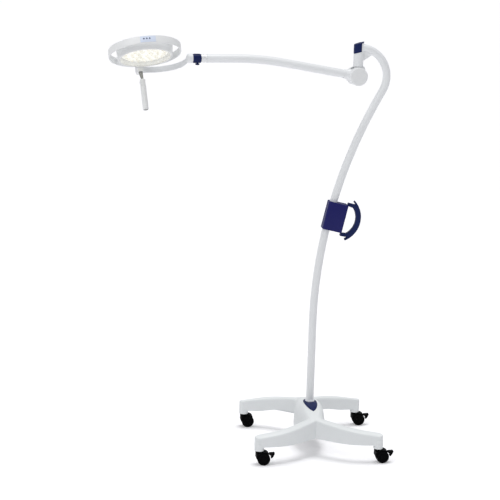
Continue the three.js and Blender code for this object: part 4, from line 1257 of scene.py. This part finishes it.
# ---------------------------------------------------------------- supply box
@dataclass
class SupplyBox:
    """The box clamped round the pole, with its D-shaped push grip."""

    height: ClassVar[float] = 1089.0
    straighten: ClassVar[float] = 0.8
    width: float = 91.0
    length: float = 129.0
    depth: float = 66.0
    side: float = 23.5
    grip_half: float = 94.0
    grip_reach: float = 77.0
    grip_bulge: float = 49.5
    grip_web: float = 23.3
    grip_inner: float = 81.0
    grip_drop: float = 4.0
    grip_depth: float = 22.0
    inlet_x: float = 48.0
    inlet_half: float = 13.7

    def section(self, front: bool) -> list[Point]:
        """Return half of the box's plan section, with the pole's side rounded.

        Args:
            front: whether it is the front half.

        Returns:
            The points.
        """
        x0, x1 = self.side - self.width / 2, self.side + self.width / 2
        near = -self.depth / 2 + 0.1
        sign = 1 if front else -1
        corners = [(x0 + 0.1, -0.15), (x0 + 0.1, near, 24), (x1 - 0.1, near, 6), (x1 - 0.1, -0.15)]
        return [(x, sign * y) for x, y in fillet(corners, 10)]

    def grip(self) -> Shape:
        """Return the D-shaped grip, with overhanging tips that hold a wound lead."""
        x1 = self.side + self.width / 2
        outer = (self.grip_half**2 + self.grip_bulge**2) / (2 * self.grip_bulge)
        ox = x1 + self.grip_reach - outer
        half = math.degrees(math.asin(self.grip_half / outer))
        ix = x1 + self.grip_reach - self.grip_web - self.grip_inner
        top, bottom, drop = self.length / 2 + 9.5, -self.length / 2 - 17.5, -self.grip_drop
        foot = x1 + 0.3
        outline = [
            *arc(ox, drop, outer, -half, half, 36),
            *arc(ox, drop, outer - 8, half - 1, half - 9, 4),
            (foot, top), (foot, top - 14),
            *arc(ix, drop, self.grip_inner, 48, -48, 30),
            (foot, bottom + 14), (foot, bottom),
            *arc(ox, drop, outer - 8, -half + 9, -half + 1, 4),
        ]
        return upright(outline, -self.grip_depth / 2 + 0.1, self.grip_depth / 2 - 0.1)

    def build(self, bench: Bench, frames: Frames) -> None:
        """Make the box's pieces.

        Args:
            bench: where the pieces are finished.
            frames: the frames they are drawn in.
        """
        half = self.length / 2 - 0.1
        for front, name, node in ((True, "supply_front", "box_front"), (False, "supply_back", "box_back")):
            shell = prism(self.section(front), -half, half)
            left, right = self.inlet_x - self.inlet_half, self.inlet_x + self.inlet_half
            mouth = [(left, -25.2), (right, -25.2), (right, -4.8), (left, -4.8)]
            pocket = prism(mouth, -half - 5, -half + 15)
            bench.finish(
                name, "stand", shell, frames.supply, Finishes.BOX_NAVY, [node], "navy_plastic", bevel=2.2,
                crease=40,
                cuts=[pocket] if front else [],
            )
        bench.finish(
            "push_grip", "stand", self.grip(), frames.supply, Finishes.NAVY, ["pole_grip"], "navy_plastic",
            bevel=3.2,
            crease=30,
        )
        screw = turned(fillet([(0, -2), (4.2, -2), (4.2, 0.9, 0.5), (2.4, 1.1), (2.0, -0.4), (0, -0.4)]),
            24)
        spots = Shape()
        for x in (self.side - 30, self.side + 34):
            for z in (-50, 50):
                spots.add(screw, shift(x, self.depth / 2 - 1.3, z) @ turn(-90, "X"))
        bench.finish("supply_screws", "stand", spots, frames.supply, Finishes.STEEL, (), "steel")


# ---------------------------------------------------------------- arm
@dataclass
class Arm:
    """The swivel column, the knuckle, the arm tube, and the friction joint at its end."""

    rise: ClassVar[float] = 9.65
    boss_offset: ClassVar[float] = 26.3 + 36.0 + 0.5 + 12.5
    drum: float = 41.0
    drum_length: float = 70.0
    radius: float = 19.0
    straight: float = 346.5
    bend: float = 1303.0
    end_run: float = 134.0
    start: float = 62.3
    ferrule: float = 18.0
    ferrule_length: float = 26.0
    friction: float = 20.5
    friction_length: float = 36.0
    slot: float = 27.0
    offset: float = 5.5
    lift_up: float = 25.0
    lift_down: float = 35.0
    column_radius: float = 22.4
    lug: float = 11.0
    eye: float = 23.9

    def line(self) -> list[Vector]:
        """Return the arm tube's middle line."""
        points = [Vector((self.start, 0, 0)), Vector((200, 0, 0)), Vector((self.straight, 0, 0))]
        rise = math.radians(self.rise)
        for i in range(1, 25):
            a = rise * i / 24
            points.append(Vector((self.straight + self.bend * math.sin(a), 0,
                -self.bend * (1 - math.cos(a)))))
        along = Vector((math.cos(rise), 0, -math.sin(rise)))
        points.append(points[-1] + along * self.end_run)
        return points

    def column(self) -> Shape:
        """Return the neck below the sleeve, with the lug that the hinge pin passes through."""
        r, foot, shaft, top = self.column_radius, self.drum + 0.8, 12, 123.9
        profile = [(0, foot), (r, foot, 0.5), (r, foot + 1.7, 0.5), (shaft, foot + 1.7), (shaft, top, 1),
            (0, top)]
        neck = turned(fillet(profile), 56).moved(shift(-self.offset))
        half, side, rise = self.slot / 2 - 0.6, self.lug, self.drum + 1.5
        lug = upright([(-side, 0), (side, 0), (side, rise), (-side, rise)], -half, half)
        eye = turned([(0, -half), (self.eye, -half), (self.eye, half), (0, half)], 40).moved(ALONG_Y)
        return neck.add(lug).add(eye)

    def housing(self) -> Shape:
        """Return the knuckle's drum."""
        half = self.drum_length / 2
        drum = turned(
            fillet(
                [(0, -half + 3), (34, -half + 3), (35.5, -half, 1.2), (self.drum, -half, 3),
                (self.drum, half, 3),
                 (35.5, half, 1.2), (34, half - 3), (0, half - 3)]
            ),
            80,
        )
        return drum.moved(ALONG_Y)

    def rooms(self) -> list[Shape]:
        """Return what the neck, its lug and its eye need clear of the drum between the arm's limits."""
        half = self.slot / 2
        near = math.radians(90 - self.rise - self.lift_up)
        far = math.radians(90 - self.rise + self.lift_down)
        room = self.eye + 1.0
        eye = turned([(0, -half), (room, -half), (room, half), (0, half)], 48).moved(ALONG_Y)
        side, reach = self.lug + 0.6, self.drum + 5
        up_near, out_near = self._axes(near)
        up_far, out_far = self._axes(far)
        foot, top = out_near * side, out_near * side + up_near * reach
        far_foot, far_top = -out_far * side, -out_far * side + up_far * reach
        over = [Vector(p) for p in arc(0, 0, self.drum + 11, math.degrees(near), math.degrees(far), 12)]
        lug = [tuple(p) for p in (foot, top, *over, far_top, far_foot)]
        left, right = -self.column_radius - self.offset - 0.6, self.column_radius - self.offset + 0.7
        low, high = self.drum + 0.3, self.drum + 29
        neck = [tuple(up_near * z + out_near * x) for x,
            z in ((right, low), (right, high), (left, high), (left, low))]
        return [eye, upright(lug, -half, half),
            upright(neck, -self.column_radius - 0.6, self.column_radius + 0.6)]

    @staticmethod
    def _axes(angle: float) -> tuple[Vector, Vector]:
        """Return the column's upward and outward directions, seen from an arm at this angle to it."""
        return Vector((math.cos(angle), math.sin(angle))), Vector((math.sin(angle), -math.cos(angle)))

    def root(self) -> Shape:
        """Return the socket that runs from the drum onto the arm tube."""
        profile = fillet(
            [(0, 20), (29.5, 20), (27.5, 36, 10), (self.radius + 1.8, 53, 8), (self.radius + 1.5, 62, 0.8),
            (0, 62)], 6
        )
        return turned(profile, 64).moved(ALONG_X)

    def cover(self, side: float) -> Shape:
        """Return the bevelled disc that closes one end of the drum.

        Args:
            side: 1 for the front, -1 for the rear.

        Returns:
            The closed shape.
        """
        inner = self.drum_length / 2 - 3.7
        profile = fillet(
            [(0, inner), (33.6, inner), (33.6, inner + 4.2), (40.3, inner + 4.2, 0.6),
            (40.3, inner + 6.0, 1.0),
             (36.2, inner + 8.8, 1.6), (12, inner + 8.9), (0, inner + 8.9)]
        )
        return turned(profile, 72).moved(turn(90 if side < 0 else -90, "X"))

    def build(self, bench: Bench, frames: Frames, rings: RingArray) -> None:
        """Make the arm's pieces.

        Args:
            bench: where the pieces are finished.
            frames: the frames they are drawn in.
            rings: what repeats parts round a ring.
        """
        bench.finish(
            "swivel_neck", "swivel_column", self.column(), frames.column, Finishes.POWDER_WHITE,
            ["swivel_spindle"],
            "white_metal",
        )
        bench.finish(
            "knuckle_drum", "spring_arm", self.housing(), frames.arm, Finishes.POWDER_WHITE,
            ["knuckle_housing"],
            "white_metal", cuts=self.rooms(),
        )
        bench.finish(
            "arm_root", "spring_arm", self.root(), frames.arm, Finishes.POWDER_WHITE, (), "white_metal",
            cuts=self.rooms(),
        )
        for end, side in (("front", 1), ("rear", -1)):
            bench.finish(
                f"knuckle_disc_{end}", "spring_arm", self.cover(side), frames.arm, Finishes.MOULDED_WHITE,
                [f"knuckle_cover_{end}"], "white_plastic",
            )
        bench.finish(
            "arm_pipe", "spring_arm", swept(self.line(), circle(self.radius, 56), Vector((0, 1, 0))),
            frames.arm,
            Finishes.POWDER_WHITE, ["arm_tube"], "white_metal",
        )
        self.friction_joint(bench, frames, rings)

    def friction_joint(self, bench: Bench, frames: Frames, rings: RingArray) -> None:
        """Make the ferrule, the friction ring with its ribs, and the knob.

        Args:
            bench: where the pieces are finished.
            frames: the frames they are drawn in.
            rings: what repeats parts round a ring.
        """
        r, length = self.ferrule, self.ferrule_length
        ferrule = fillet(
            [(0, 0.3), (18.5, 0.3, 0.3), (18.5, 3, 0.3), (r, 3.6, 0.3), (r, 7), (r, length - 1.5, 0.4),
            (r - 0.6, length, 0.3),
             (0, length)]
        )
        band = turned(ferrule, 56)
        dot = turned(fillet([(0, r - 1), (2.2, r - 1), (2.2, r + 0.9, 0.4), (1.1, r + 0.9), (0.9, r + 0.2),
            (0, r + 0.2)]), 20)
        ferrule_shape = band.moved(ALONG_X)
        bench.finish(
            "tip_ferrule", "spring_arm", ferrule_shape, frames.tip, Finishes.FERRULE, ["arm_ferrule"],
            "bright_metal"
        )
        bench.finish("ferrule_screw", "spring_arm", dot, frames.tip @ shift(12, 0, 0), Finishes.FERRULE,
            (), "steel")
        x0, x1 = length + 0.3, length + 0.3 + self.friction_length
        f = self.friction
        ring = turned(
            fillet([(0, x0), (f - 1.2, x0, 1), (f - 0.7, x0 + 3), (f - 0.7, x1 - 3), (f - 1.2, x1, 1),
            (0, x1)]), 64
        )
        rib = Shape().add(prism(fillet([(-0.9, -1.0), (0.65, -0.8, 0.4), (0.65, 0.8, 0.4), (-0.9, 1.0)],
            closed=True), 0, 24))
        ribs = rings.shape(rib, 30, f - 0.75, 0, Finishes.NAVY)
        both = ring.add(ribs, shift(0, 0, x0 + 6)).moved(ALONG_X)
        bench.finish(
            "swivel_ring", "spring_arm", both, frames.tip, Finishes.NAVY, ["friction_ring"],
            "navy_plastic", crease=40
        )
        knob = turned(
            fillet([(0, -f - 8.4), (7.2, -f - 8.4, 1.4), (8.2, -f - 6.4), (8.2, -f - 1.2, 0.6),
            (4, -f - 0.8), (4, -10), (0, -10)]), 40
        )
        flute = prism(fillet([(-0.8, -0.9), (0.7, -0.7, 0.3), (0.7, 0.7, 0.3), (-0.8, 0.9)], closed=True),
            0, 5)
        grips = rings.shape(flute, 16, 8.2, 0, Finishes.NAVY)
        knob.add(grips, shift(0, 0, -f - 6.6))
        bench.finish(
            "ring_clamp_knob", "spring_arm", knob, frames.tip @ shift(x0 + 14, 0, 0), Finishes.NAVY,
            ["friction_knob"],
            "navy_plastic", crease=40,
        )


# ---------------------------------------------------------------- yoke
@dataclass
class Yoke:
    """The one-sided yoke: a boss on the arm's end and a curved band to the tilt pivot."""

    reach: float = 195.0
    pivot: float = 161.0
    band_height: float = 27.0
    band: float = 4.0
    middle: float = 3.0
    pivot_z: float = -2.0
    boss: float = 20.5
    boss_length: float = 25.0
    path: tuple[Point, ...] = (
        (192, 0), (191, 34), (186, 64), (175, 91), (158, 113), (135, 132), (106, 147), (72, 156.5),
        (36, 160.4),
        (0, 161), (-13, 161),
    )

    def build(self, bench: Bench, frames: Frames) -> None:
        """Make the yoke's pieces.

        Args:
            bench: where the pieces are finished.
            frames: the frames they are drawn in.
        """
        line = [Vector((self.reach - back, -out, self.middle)) for back, out in self.path]
        dense = smooth_line(line, 8)
        half, thick = self.band_height / 2, self.band / 2
        section = fillet(
            [(-half, -thick, 1.5), (half, -thick, 1.5), (half, thick, 1.5), (-half, thick, 1.5)], 3,
            closed=True
        )
        shape = swept(dense, section, Vector((0, 0, 1)))
        length = self.boss_length / 2
        boss = turned(
            fillet(
                [(0, -length), (self.boss - 1.2, -length, 0.8), (self.boss, -length + 1.6, 0.8),
                 (self.boss, length - 5, 4), (self.boss - 6, length, 3), (0, length)]
            ),
            56,
        )
        shape.add(boss, ALONG_X)
        pad = fillet(
            [(self.reach - 12, self.pivot_z - 17, 11), (self.reach + 12, self.pivot_z - 17, 11),
             (self.reach + 12, self.pivot_z + 17, 11), (self.reach - 12, self.pivot_z + 17, 11)], 6,
             closed=True,
        )
        shape.add(upright(pad, -self.pivot - 3.9, -self.pivot + 1.9))
        bench.finish(
            "yoke_arm", "yoke", shape, frames.yoke, Finishes.POWDER_WHITE, ["yoke_band"], "white_metal",
            crease=32
        )


# ---------------------------------------------------------------- head
@dataclass
class Head:
    """The lamp head: guard ring, housing, optics, lens, keys and handle."""

    tilt: ClassVar[float] = 2.0
    lift: float = 2.0
    ring: float = 157.3
    ring_wall: float = 5.0
    ring_height: float = 32.5
    ring_middle: float = 30.3
    mouth: float = 117.0
    flare: float = 6.5
    body_height: float = 52.0
    lens: float = 111.5
    lens_z: float = 1.5
    lens_thick: float = 3.0
    pivot: float = 161.0
    handle_out: float = 103.0
    handle_length: float = 199.0
    panel_angle: float = 84.0
    panel_half: float = 12.0

    def radius_at(self, z: float) -> float:
        """Return the housing's radius at a height."""
        return self.mouth + self.flare * (z - self.lift) / self.body_height

    def guard(self) -> Shape:
        """Return the guard ring with its four spokes."""
        low = self.lift + self.ring_middle - self.ring_height / 2
        high = low + self.ring_height
        r, w = self.ring, self.ring_wall
        shape = turned(
            fillet([(r - w, low, 1.6), (r, low, 1.8), (r, high, 1.8), (r - w, high, 1.6)], 4, closed=True),
            128
        )
        level = high - 9
        inner = self.radius_at(level + 4) - 0.6
        length = r - 2 - inner
        spoke = prism(
            fillet([(0, -8, 1), (length, -8), (length, 8), (0, 8, 1)], 2, closed=True), level - 3.9,
            level + 3.9
        )
        for k in range(4):
            shape.add(spoke, turn(45 + 90 * k, "Z") @ shift(inner))
        return shape

    def housing(self) -> Shape:
        """Return the lamp housing, open below for the lens."""
        top = self.lift + self.body_height
        outer = self.radius_at(top)
        profile = fillet(
            [
                (self.mouth - 3.4, self.lift + 0.2), (self.mouth - 0.2, self.lift + 0.2, 0.8),
                (self.radius_at(self.lift + 12) - 0.1, self.lift + 12),
                (self.radius_at(self.lift + 12.6) - 0.9, self.lift + 12.6),
                (self.radius_at(self.lift + 14.2) - 0.9, self.lift + 14.2),
                (self.radius_at(self.lift + 14.8) - 0.1, self.lift + 14.8),
                (outer - 0.3, top - 1.2, 1.0), (outer - 3, top), (60, top), (60, top - 3.3),
                (outer - 6, top - 3.3),
                (self.mouth - 3.4, self.lift + 16),
            ],
            3,
            closed=True,
        )
        return turned(profile, 128)

    def lug(self) -> Shape:
        """Return the pivot lug on the far side of the housing."""
        pad = fillet([(-12, -17, 9), (12, -17, 9), (12, 14, 6), (-12, 14, 6)], 6, closed=True)
        return upright(pad, -self.pivot + 2.6, -self.mouth + 3.5)

    def rear(self) -> Shape:
        """Return the domed rear cover."""
        base = self.lift + self.body_height + 0.4
        rim = self.radius_at(base)
        profile = fillet(
            [(0, base), (rim - 0.8, base, 0.4), (rim - 2.4, base + 3.2, 2), (109, base + 8, 10),
            (96, base + 12.2),
             (94, base + 11.6, 0.6), (92, base + 13.0), (82, base + 15.2, 12), (45, base + 20.0, 20),
             (0, base + 21.6)],
            6,
        )
        return turned(profile, 96)

    def build(self, bench: Bench, frames: Frames, rings: RingArray) -> None:
        """Make the head's pieces.

        Args:
            bench: where the pieces are finished.
            frames: the frames they are drawn in.
            rings: what repeats parts round a ring.
        """
        body, place = "lamp_head", frames.head
        bench.finish(
            "outer_guard", body, self.guard(), place, Finishes.MOULDED_WHITE, ["guard_ring"],
            "white_plastic"
        )
        shell = self.housing().add(self.lug())
        bench.finish(
            "head_housing", body, shell, place, Finishes.MOULDED_WHITE, ["lamp_housing"], "white_metal",
            crease=30
        )
        screw = turned(fillet([(0, -2), (4.4, -2), (4.4, 0.8, 0.4), (2.4, 0.9), (2.1, -0.8), (0, -0.8)]),
            20)
        base = self.lift + self.body_height + 0.4
        screws = rings.shape(screw.moved(turn(20, "Y")), 4, 102, 0,
            Finishes.STEEL).moved(shift(0, 0, base + 9.8))
        bench.finish("rear_dome", body, self.rear(), place, Finishes.MOULDED_WHITE, ["rear_cover"],
            "white_plastic")
        bench.finish("rear_screws", body, screws, place, Finishes.STEEL, (), "steel")
        self.light_engine(bench, place, rings)
        self.pivot_parts(bench, place)
        self.keys(bench, place)
        self.handle(bench, place)

    def light_engine(self, bench: Bench, place: Matrix, rings: RingArray) -> None:
        """Make the LED board, its optics, the lens and its bezel.

        Args:
            bench: where the pieces are finished.
            place: the head's frame.
            rings: what repeats parts round a ring.
        """
        level = self.lift + 24
        board = turned([(0, level), (104, level), (104, level + 1.9), (0, level + 1.9)], 96)
        bench.finish("light_board", "lamp_head", board, place, Finishes.BOARD, ["led_board"], "board")
        cup = turned(
            fillet([(0, level - 3.4), (9.3, level - 3.4), (9.3, level - 5.5, 0.6), (7.8, level - 9, 2),
            (4.5, level - 10.6, 2),
                    (0, level - 11)]),
            24,
        )
        chip = turned([(0, level - 11.8), (2.6, level - 11.8), (2.6, level - 10.4), (0, level - 10.4)], 12)
        plate = turned([(0, level - 3.2), (102, level - 3.2), (102, level - 0.4), (0, level - 0.4)], 96)
        cups = Shape()
        chips = Shape()
        for radius, count in ((28, 6), (56, 12), (85, 18)):
            cups.add(rings.shape(cup, count, radius, 0, Finishes.CUP))
            chips.add(rings.shape(chip, count, radius, 0, Finishes.CHIP))
        bench.finish("optic_plate", "lamp_head", plate, place, Finishes.OPTIC, ["led_optics"],
            "clear_optics")
        bench.finish("optic_cups", "lamp_head", cups, place, Finishes.CUP, (), "clear_optics")
        bench.finish("led_chips", "lamp_head", chips, place, Finishes.CHIP, (), "board")
        low = self.lift + self.lens_z
        lens = turned(
            fillet([(0, low), (self.lens - 0.2, low, 0.8), (self.lens - 0.2, low + self.lens_thick),
            (0, low + self.lens_thick)]),
            128,
        )
        bench.finish("lens_disc", "lamp_head", lens, place, Finishes.LENS, ["lens_plate"], "lens_plastic")
        outer = self.mouth - 4.1
        rim = turned(
            fillet(
                [(self.lens - 2.2, low - 1.4, 0.4), (outer, low - 1.4, 0.6), (outer, low + 11),
                (self.lens + 0.3, low + 11),
                 (self.lens + 0.3, low - 0.3), (self.lens - 2.2, low - 0.3)],
                3, closed=True,
            ),
            128,
        )
        bench.finish("lens_rim", "lamp_head", rim, place, Finishes.MOULDED_WHITE, ["lens_bezel"],
            "white_plastic")

    def pivot_parts(self, bench: Bench, place: Matrix) -> None:
        """Make the screw that the head tilts on.

        Args:
            bench: where the pieces are finished.
            place: the head's frame.
        """
        out = self.pivot + 4.3
        profile = fillet(
            [(0, 128), (6, 128), (6, out), (10.9, out, 0.4), (10.9, out + 3.4, 0.8), (9, out + 5.1, 0.8),
            (4.2, out + 5.1), (4.0, out + 2.6),
             (0, out + 2.6)]
        )
        bench.finish(
            "tilt_screw", "lamp_head", turned(profile, 48).moved(ALONG_Y), place, Finishes.STEEL,
            ["pivot_screw"], "steel"
        )

    def keys(self, bench: Bench, place: Matrix) -> None:
        """Make the membrane panel and its keys on the guard ring.

        Args:
            bench: where the pieces are finished.
            place: the head's frame.
        """
        middle = self.lift + self.ring_middle
        r0, r1 = self.ring + 0.3, self.ring + 1.9
        a, h = self.panel_angle, self.panel_half
        outline = arc(0, 0, r0, a + h, a - h, 20) + arc(0, 0, r1, a - h, a + h, 20)
        bench.finish(
            "membrane_panel", "lamp_head", prism(list(reversed(outline)), middle - 12.9, middle + 12.9),
            place,
            Finishes.PANEL, ["key_panel"], "panel", bevel=0.5, crease=40,
        )
        cap = turned(fillet([(0, r0 + 0.8), (3.2, r0 + 0.8), (3.2, r1 + 0.7, 0.5), (0, r1 + 0.9)]), 32)
        for name, step in (("dim", -6.5), ("power", -2.0), ("bright", 2.5)):
            spot = turn(a + step, "Z") @ ALONG_X
            bench.finish(
                f"button_{name}", f"key_{name}", cap.moved(shift(0, 0, middle + 2) @ spot), place,
                Finishes.KEY,
                [f"key_{name}"], "key",
            )

    def handle(self, bench: Bench, place: Matrix) -> None:
        """Make the stem, collar, latch and grip of the hanging handle.

        Args:
            bench: where the pieces are finished.
            place: the head's frame.
        """
        top, low = -17.3, -64.0
        levels = 14
        stem = Shape()
        for k in range(levels + 1):
            t = k / levels
            z = top + (low - top) * t
            y = -122 + (122 - self.handle_out) * t
            wide, deep = 9.5 - 5.5 * t, 4
            ring = fillet(
                [(-wide, y - deep, 2), (wide, y - deep, 2), (wide, y + deep, 2), (-wide, y + deep, 2)], 3,
                closed=True
            )
            first = len(stem.points)
            stem.points += [Vector((*p, z)) for p in ring]
            count = len(ring)
            if k:
                for i in range(count):
                    n = (i + 1) % count
                    stem.faces.append((first - count + i, first - count + n, first + n, first + i))
        stem.faces.append(tuple(range(count)))
        stem.faces.append(tuple(reversed(range(levels * count, (levels + 1) * count))))
        # Painted shade: the shank's grey is darker than its steel, standing for the shade it hangs in under
        # the head.
        bench.finish("handle_shank", "lamp_head", stem, place, Finishes.SHADE_GREY, ["handle_stem"], "steel")
        axis = shift(0, -self.handle_out, 0)
        collar = turned(
            fillet([(0, -94), (9.8, -94), (9.8, -88), (11.9, -86.8, 0.6), (11.9, -61, 1.2), (10, -58.2, 1),
            (0, -58.2)]), 56
        )
        bench.finish(
            "grip_collar", "lamp_head", collar, place @ axis, Finishes.MOULDED_WHITE, ["handle_collar"],
            "white_plastic"
        )
        button = turned(fillet([(0, 9), (4.9, 9), (4.9, 13.6, 1.0), (0, 14.5)]), 32)
        bench.finish(
            "release_button", "latch_button", button.moved(shift(0, 0, -73) @ ALONG_X), place @ axis,
            Finishes.MOULDED_WHITE, ["latch_button"], "white_plastic",
        )
        foot = self.lift - self.handle_length
        grip = turned(
            fillet(
                [(10.2, foot, 0.3), (12.0, foot, 0.8), (12.5, foot + 1.6), (12.5, foot + 17),
                (11.9, foot + 17.6),
                 (11.9, foot + 18.8), (12.5, foot + 19.4), (12.5, -90.5, 0.8), (11.4, -88.8, 0.5),
                 (10.35, -88.8), (10.35, -99), (10.2, -99)],
                3, closed=True,
            ),
            56,
        )
        bench.finish(
            "grip_tube", "lamp_head", grip, place @ axis, Finishes.MOULDED_WHITE, ["grip_sleeve"],
            "white_plastic"
        )
        # Painted shade: a dark grey disc inside the grip's open foot stands for the shade deep in the tube.
        end_shade_disc = turned([(0, foot + 1.5), (10.1, foot + 1.5), (10.1, foot + 4), (0, foot + 4)], 40)
        bench.finish("grip_plug", "lamp_head", end_shade_disc, place @ axis, Finishes.SHADE_GREY, (), "black_plastic")


# ---------------------------------------------------------------- studio
@dataclass
class Studio:
    """Floor, lights and camera."""

    camera_at: tuple[float, float, float] = (-1.2721, -6.9106, 2.3910)
    forward: tuple[float, float, float] = (0.136207, 0.969164, -0.205350)
    right: tuple[float, float, float] = (0.990680, -0.133405, 0.027497)
    focal_px: float = 1571.0
    image_px: float = 500.0
    sensor: float = 36.0
    ambient: float = 0.46
    sky_seen: float = 1.1
    floor_seen: float = 0.23
    floor_reach: float = 90.0
    key_at: tuple[float, float, float] = (-2.8, -2.5, 4.6)
    key_size: float = 2.6
    key_power: float = 50.0
    sun_power: float = 1.4
    sun_spread: float = 28.0
    sun_tilt: float = 6.0

    def build(self, stand: Matrix) -> None:
        """Set the camera, the lights and the floor.

        Args:
            stand: the stand's frame, whose origin the camera's place is measured from.
        """
        scene = bpy.context.scene
        foot = stand.translation
        forward = Vector(self.forward).normalized()
        right = (Vector(self.right) - forward * Vector(self.right).dot(forward)).normalized()
        up = right.cross(forward)
        data = bpy.data.cameras.new("camera")
        data.sensor_width = self.sensor
        data.lens = self.focal_px / self.image_px * self.sensor
        data.clip_end = 500.0
        camera = bpy.data.objects.new("camera", data)
        camera.matrix_world = shift(*(Vector(self.camera_at) + Vector((foot.x, foot.y, 0)))) @ Matrix(
            (right, up, -forward)
        ).transposed().to_4x4()
        scene.collection.objects.link(camera)
        scene.camera = camera
        world = bpy.data.worlds.new("studio")
        world.use_nodes = True
        sky = world.node_tree.nodes["Background"]
        sky.inputs["Color"].default_value = (0.97, 0.98, 1.0, 1.0)
        self.brighter_to_camera(world.node_tree, sky.inputs["Strength"], self.ambient, self.sky_seen)
        scene.world = world
        scene.view_settings.view_transform = "Standard"
        self.lamp("key", self.key_at, self.key_size, self.key_power)
        sun = bpy.data.lights.new("top_sun", "SUN")
        sun.energy = self.sun_power
        sun.angle = math.radians(self.sun_spread)
        over = bpy.data.objects.new("top_sun", sun)
        over.rotation_euler = (math.radians(-self.sun_tilt), math.radians(self.sun_tilt), 0)
        scene.collection.objects.link(over)
        floor = bpy.data.meshes.new("studio_floor")
        far = self.floor_reach
        floor.from_pydata([(-far, -far, 0), (far, -far, 0), (far, far, 0), (-far, far, 0)], [],
            [(0, 1, 2, 3)])
        paint = Finishes.FLOOR.value.material()
        shader = next(n for n in paint.node_tree.nodes if n.type == "BSDF_PRINCIPLED")
        self.brighter_to_camera(paint.node_tree, shader.inputs["Emission Strength"], 0.0, self.floor_seen)
        floor.materials.append(paint)
        ground = bpy.data.objects.new("studio_floor", floor)
        scene.collection.objects.link(ground)

    @staticmethod
    def brighter_to_camera(
        tree: bpy.types.NodeTree, strength: bpy.types.NodeSocket, lighting: float, seen: float
    ) -> None:
        """Give a strength one value for the camera and another for the lighting.

        Args:
            tree: the node tree that holds it.
            strength: the strength's socket.
            lighting: its value for the lighting.
            seen: its value for the camera.
        """
        ray = tree.nodes.new("ShaderNodeLightPath")
        pick = tree.nodes.new("ShaderNodeMapRange")
        pick.inputs["To Min"].default_value = lighting
        pick.inputs["To Max"].default_value = seen
        tree.links.new(ray.outputs["Is Camera Ray"], pick.inputs["Value"])
        tree.links.new(pick.outputs["Result"], strength)

    @staticmethod
    def lamp(name: str, at: tuple[float, float, float], size: float, power: float) -> None:
        """Add a square soft light aimed at the middle of the lamp.

        Args:
            name: its name.
            at: its place in metres.
            size: its width in metres.
            power: its power in watts.
        """
        data = bpy.data.lights.new(name, "AREA")
        data.size = size
        data.energy = power
        light = bpy.data.objects.new(name, data)
        light.location = at
        light.rotation_euler = (Vector((0, 0, 1.0)) - Vector(at)).to_track_quat("-Z", "Y").to_euler()
        bpy.context.scene.collection.objects.link(light)


def dress_hidden_nodes() -> None:
    """Give every CAD node that stays in sight its own finish."""
    # The swivel bushes get the near-black gap finish: painted shade in the gap round the spindle.
    looks = {
        "power_supply": Finishes.STEEL, "mains_inlet": Finishes.BLACK, "swivel_bush_lower": Finishes.GAP_SHADE,
        "swivel_bush_upper": Finishes.GAP_SHADE, "hinge_pin": Finishes.STEEL, "balance_spring": Finishes.STEEL,
        "roll_pin": Finishes.STEEL, "heat_sink": Finishes.STEEL,
    }
    for name, look in looks.items():
        node = frame["nodes"][name]
        for holder in node.material_slots:
            holder.material = look.value.material()
        LOG.info("%s keeps its CAD shape, in %s", name, look.value.name)


def main() -> None:
    """Build the lamp's pieces in order."""
    logging.basicConfig(level=logging.INFO, format="%(name)s: %(message)s")
    bench = Bench()
    pole = Pole()
    frames = Frames.read(pole)
    rings = RingArray()
    Studio().build(frames.stand)
    CastBase().build(bench, frames)
    for corner, braked in (("front_left", True), ("front_right", True), ("back_right", True),
        ("back_left", False)):
        Caster(corner, braked).build(bench, frames)
    pole.build(bench, frames)
    SupplyBox().build(bench, frames)
    Arm().build(bench, frames, rings)
    Yoke().build(bench, frames)
    Head().build(bench, frames, rings)
    dress_hidden_nodes()
    LOG.info("%d pieces made", len(bench.pieces))


if __name__ == "__main__":
    main()
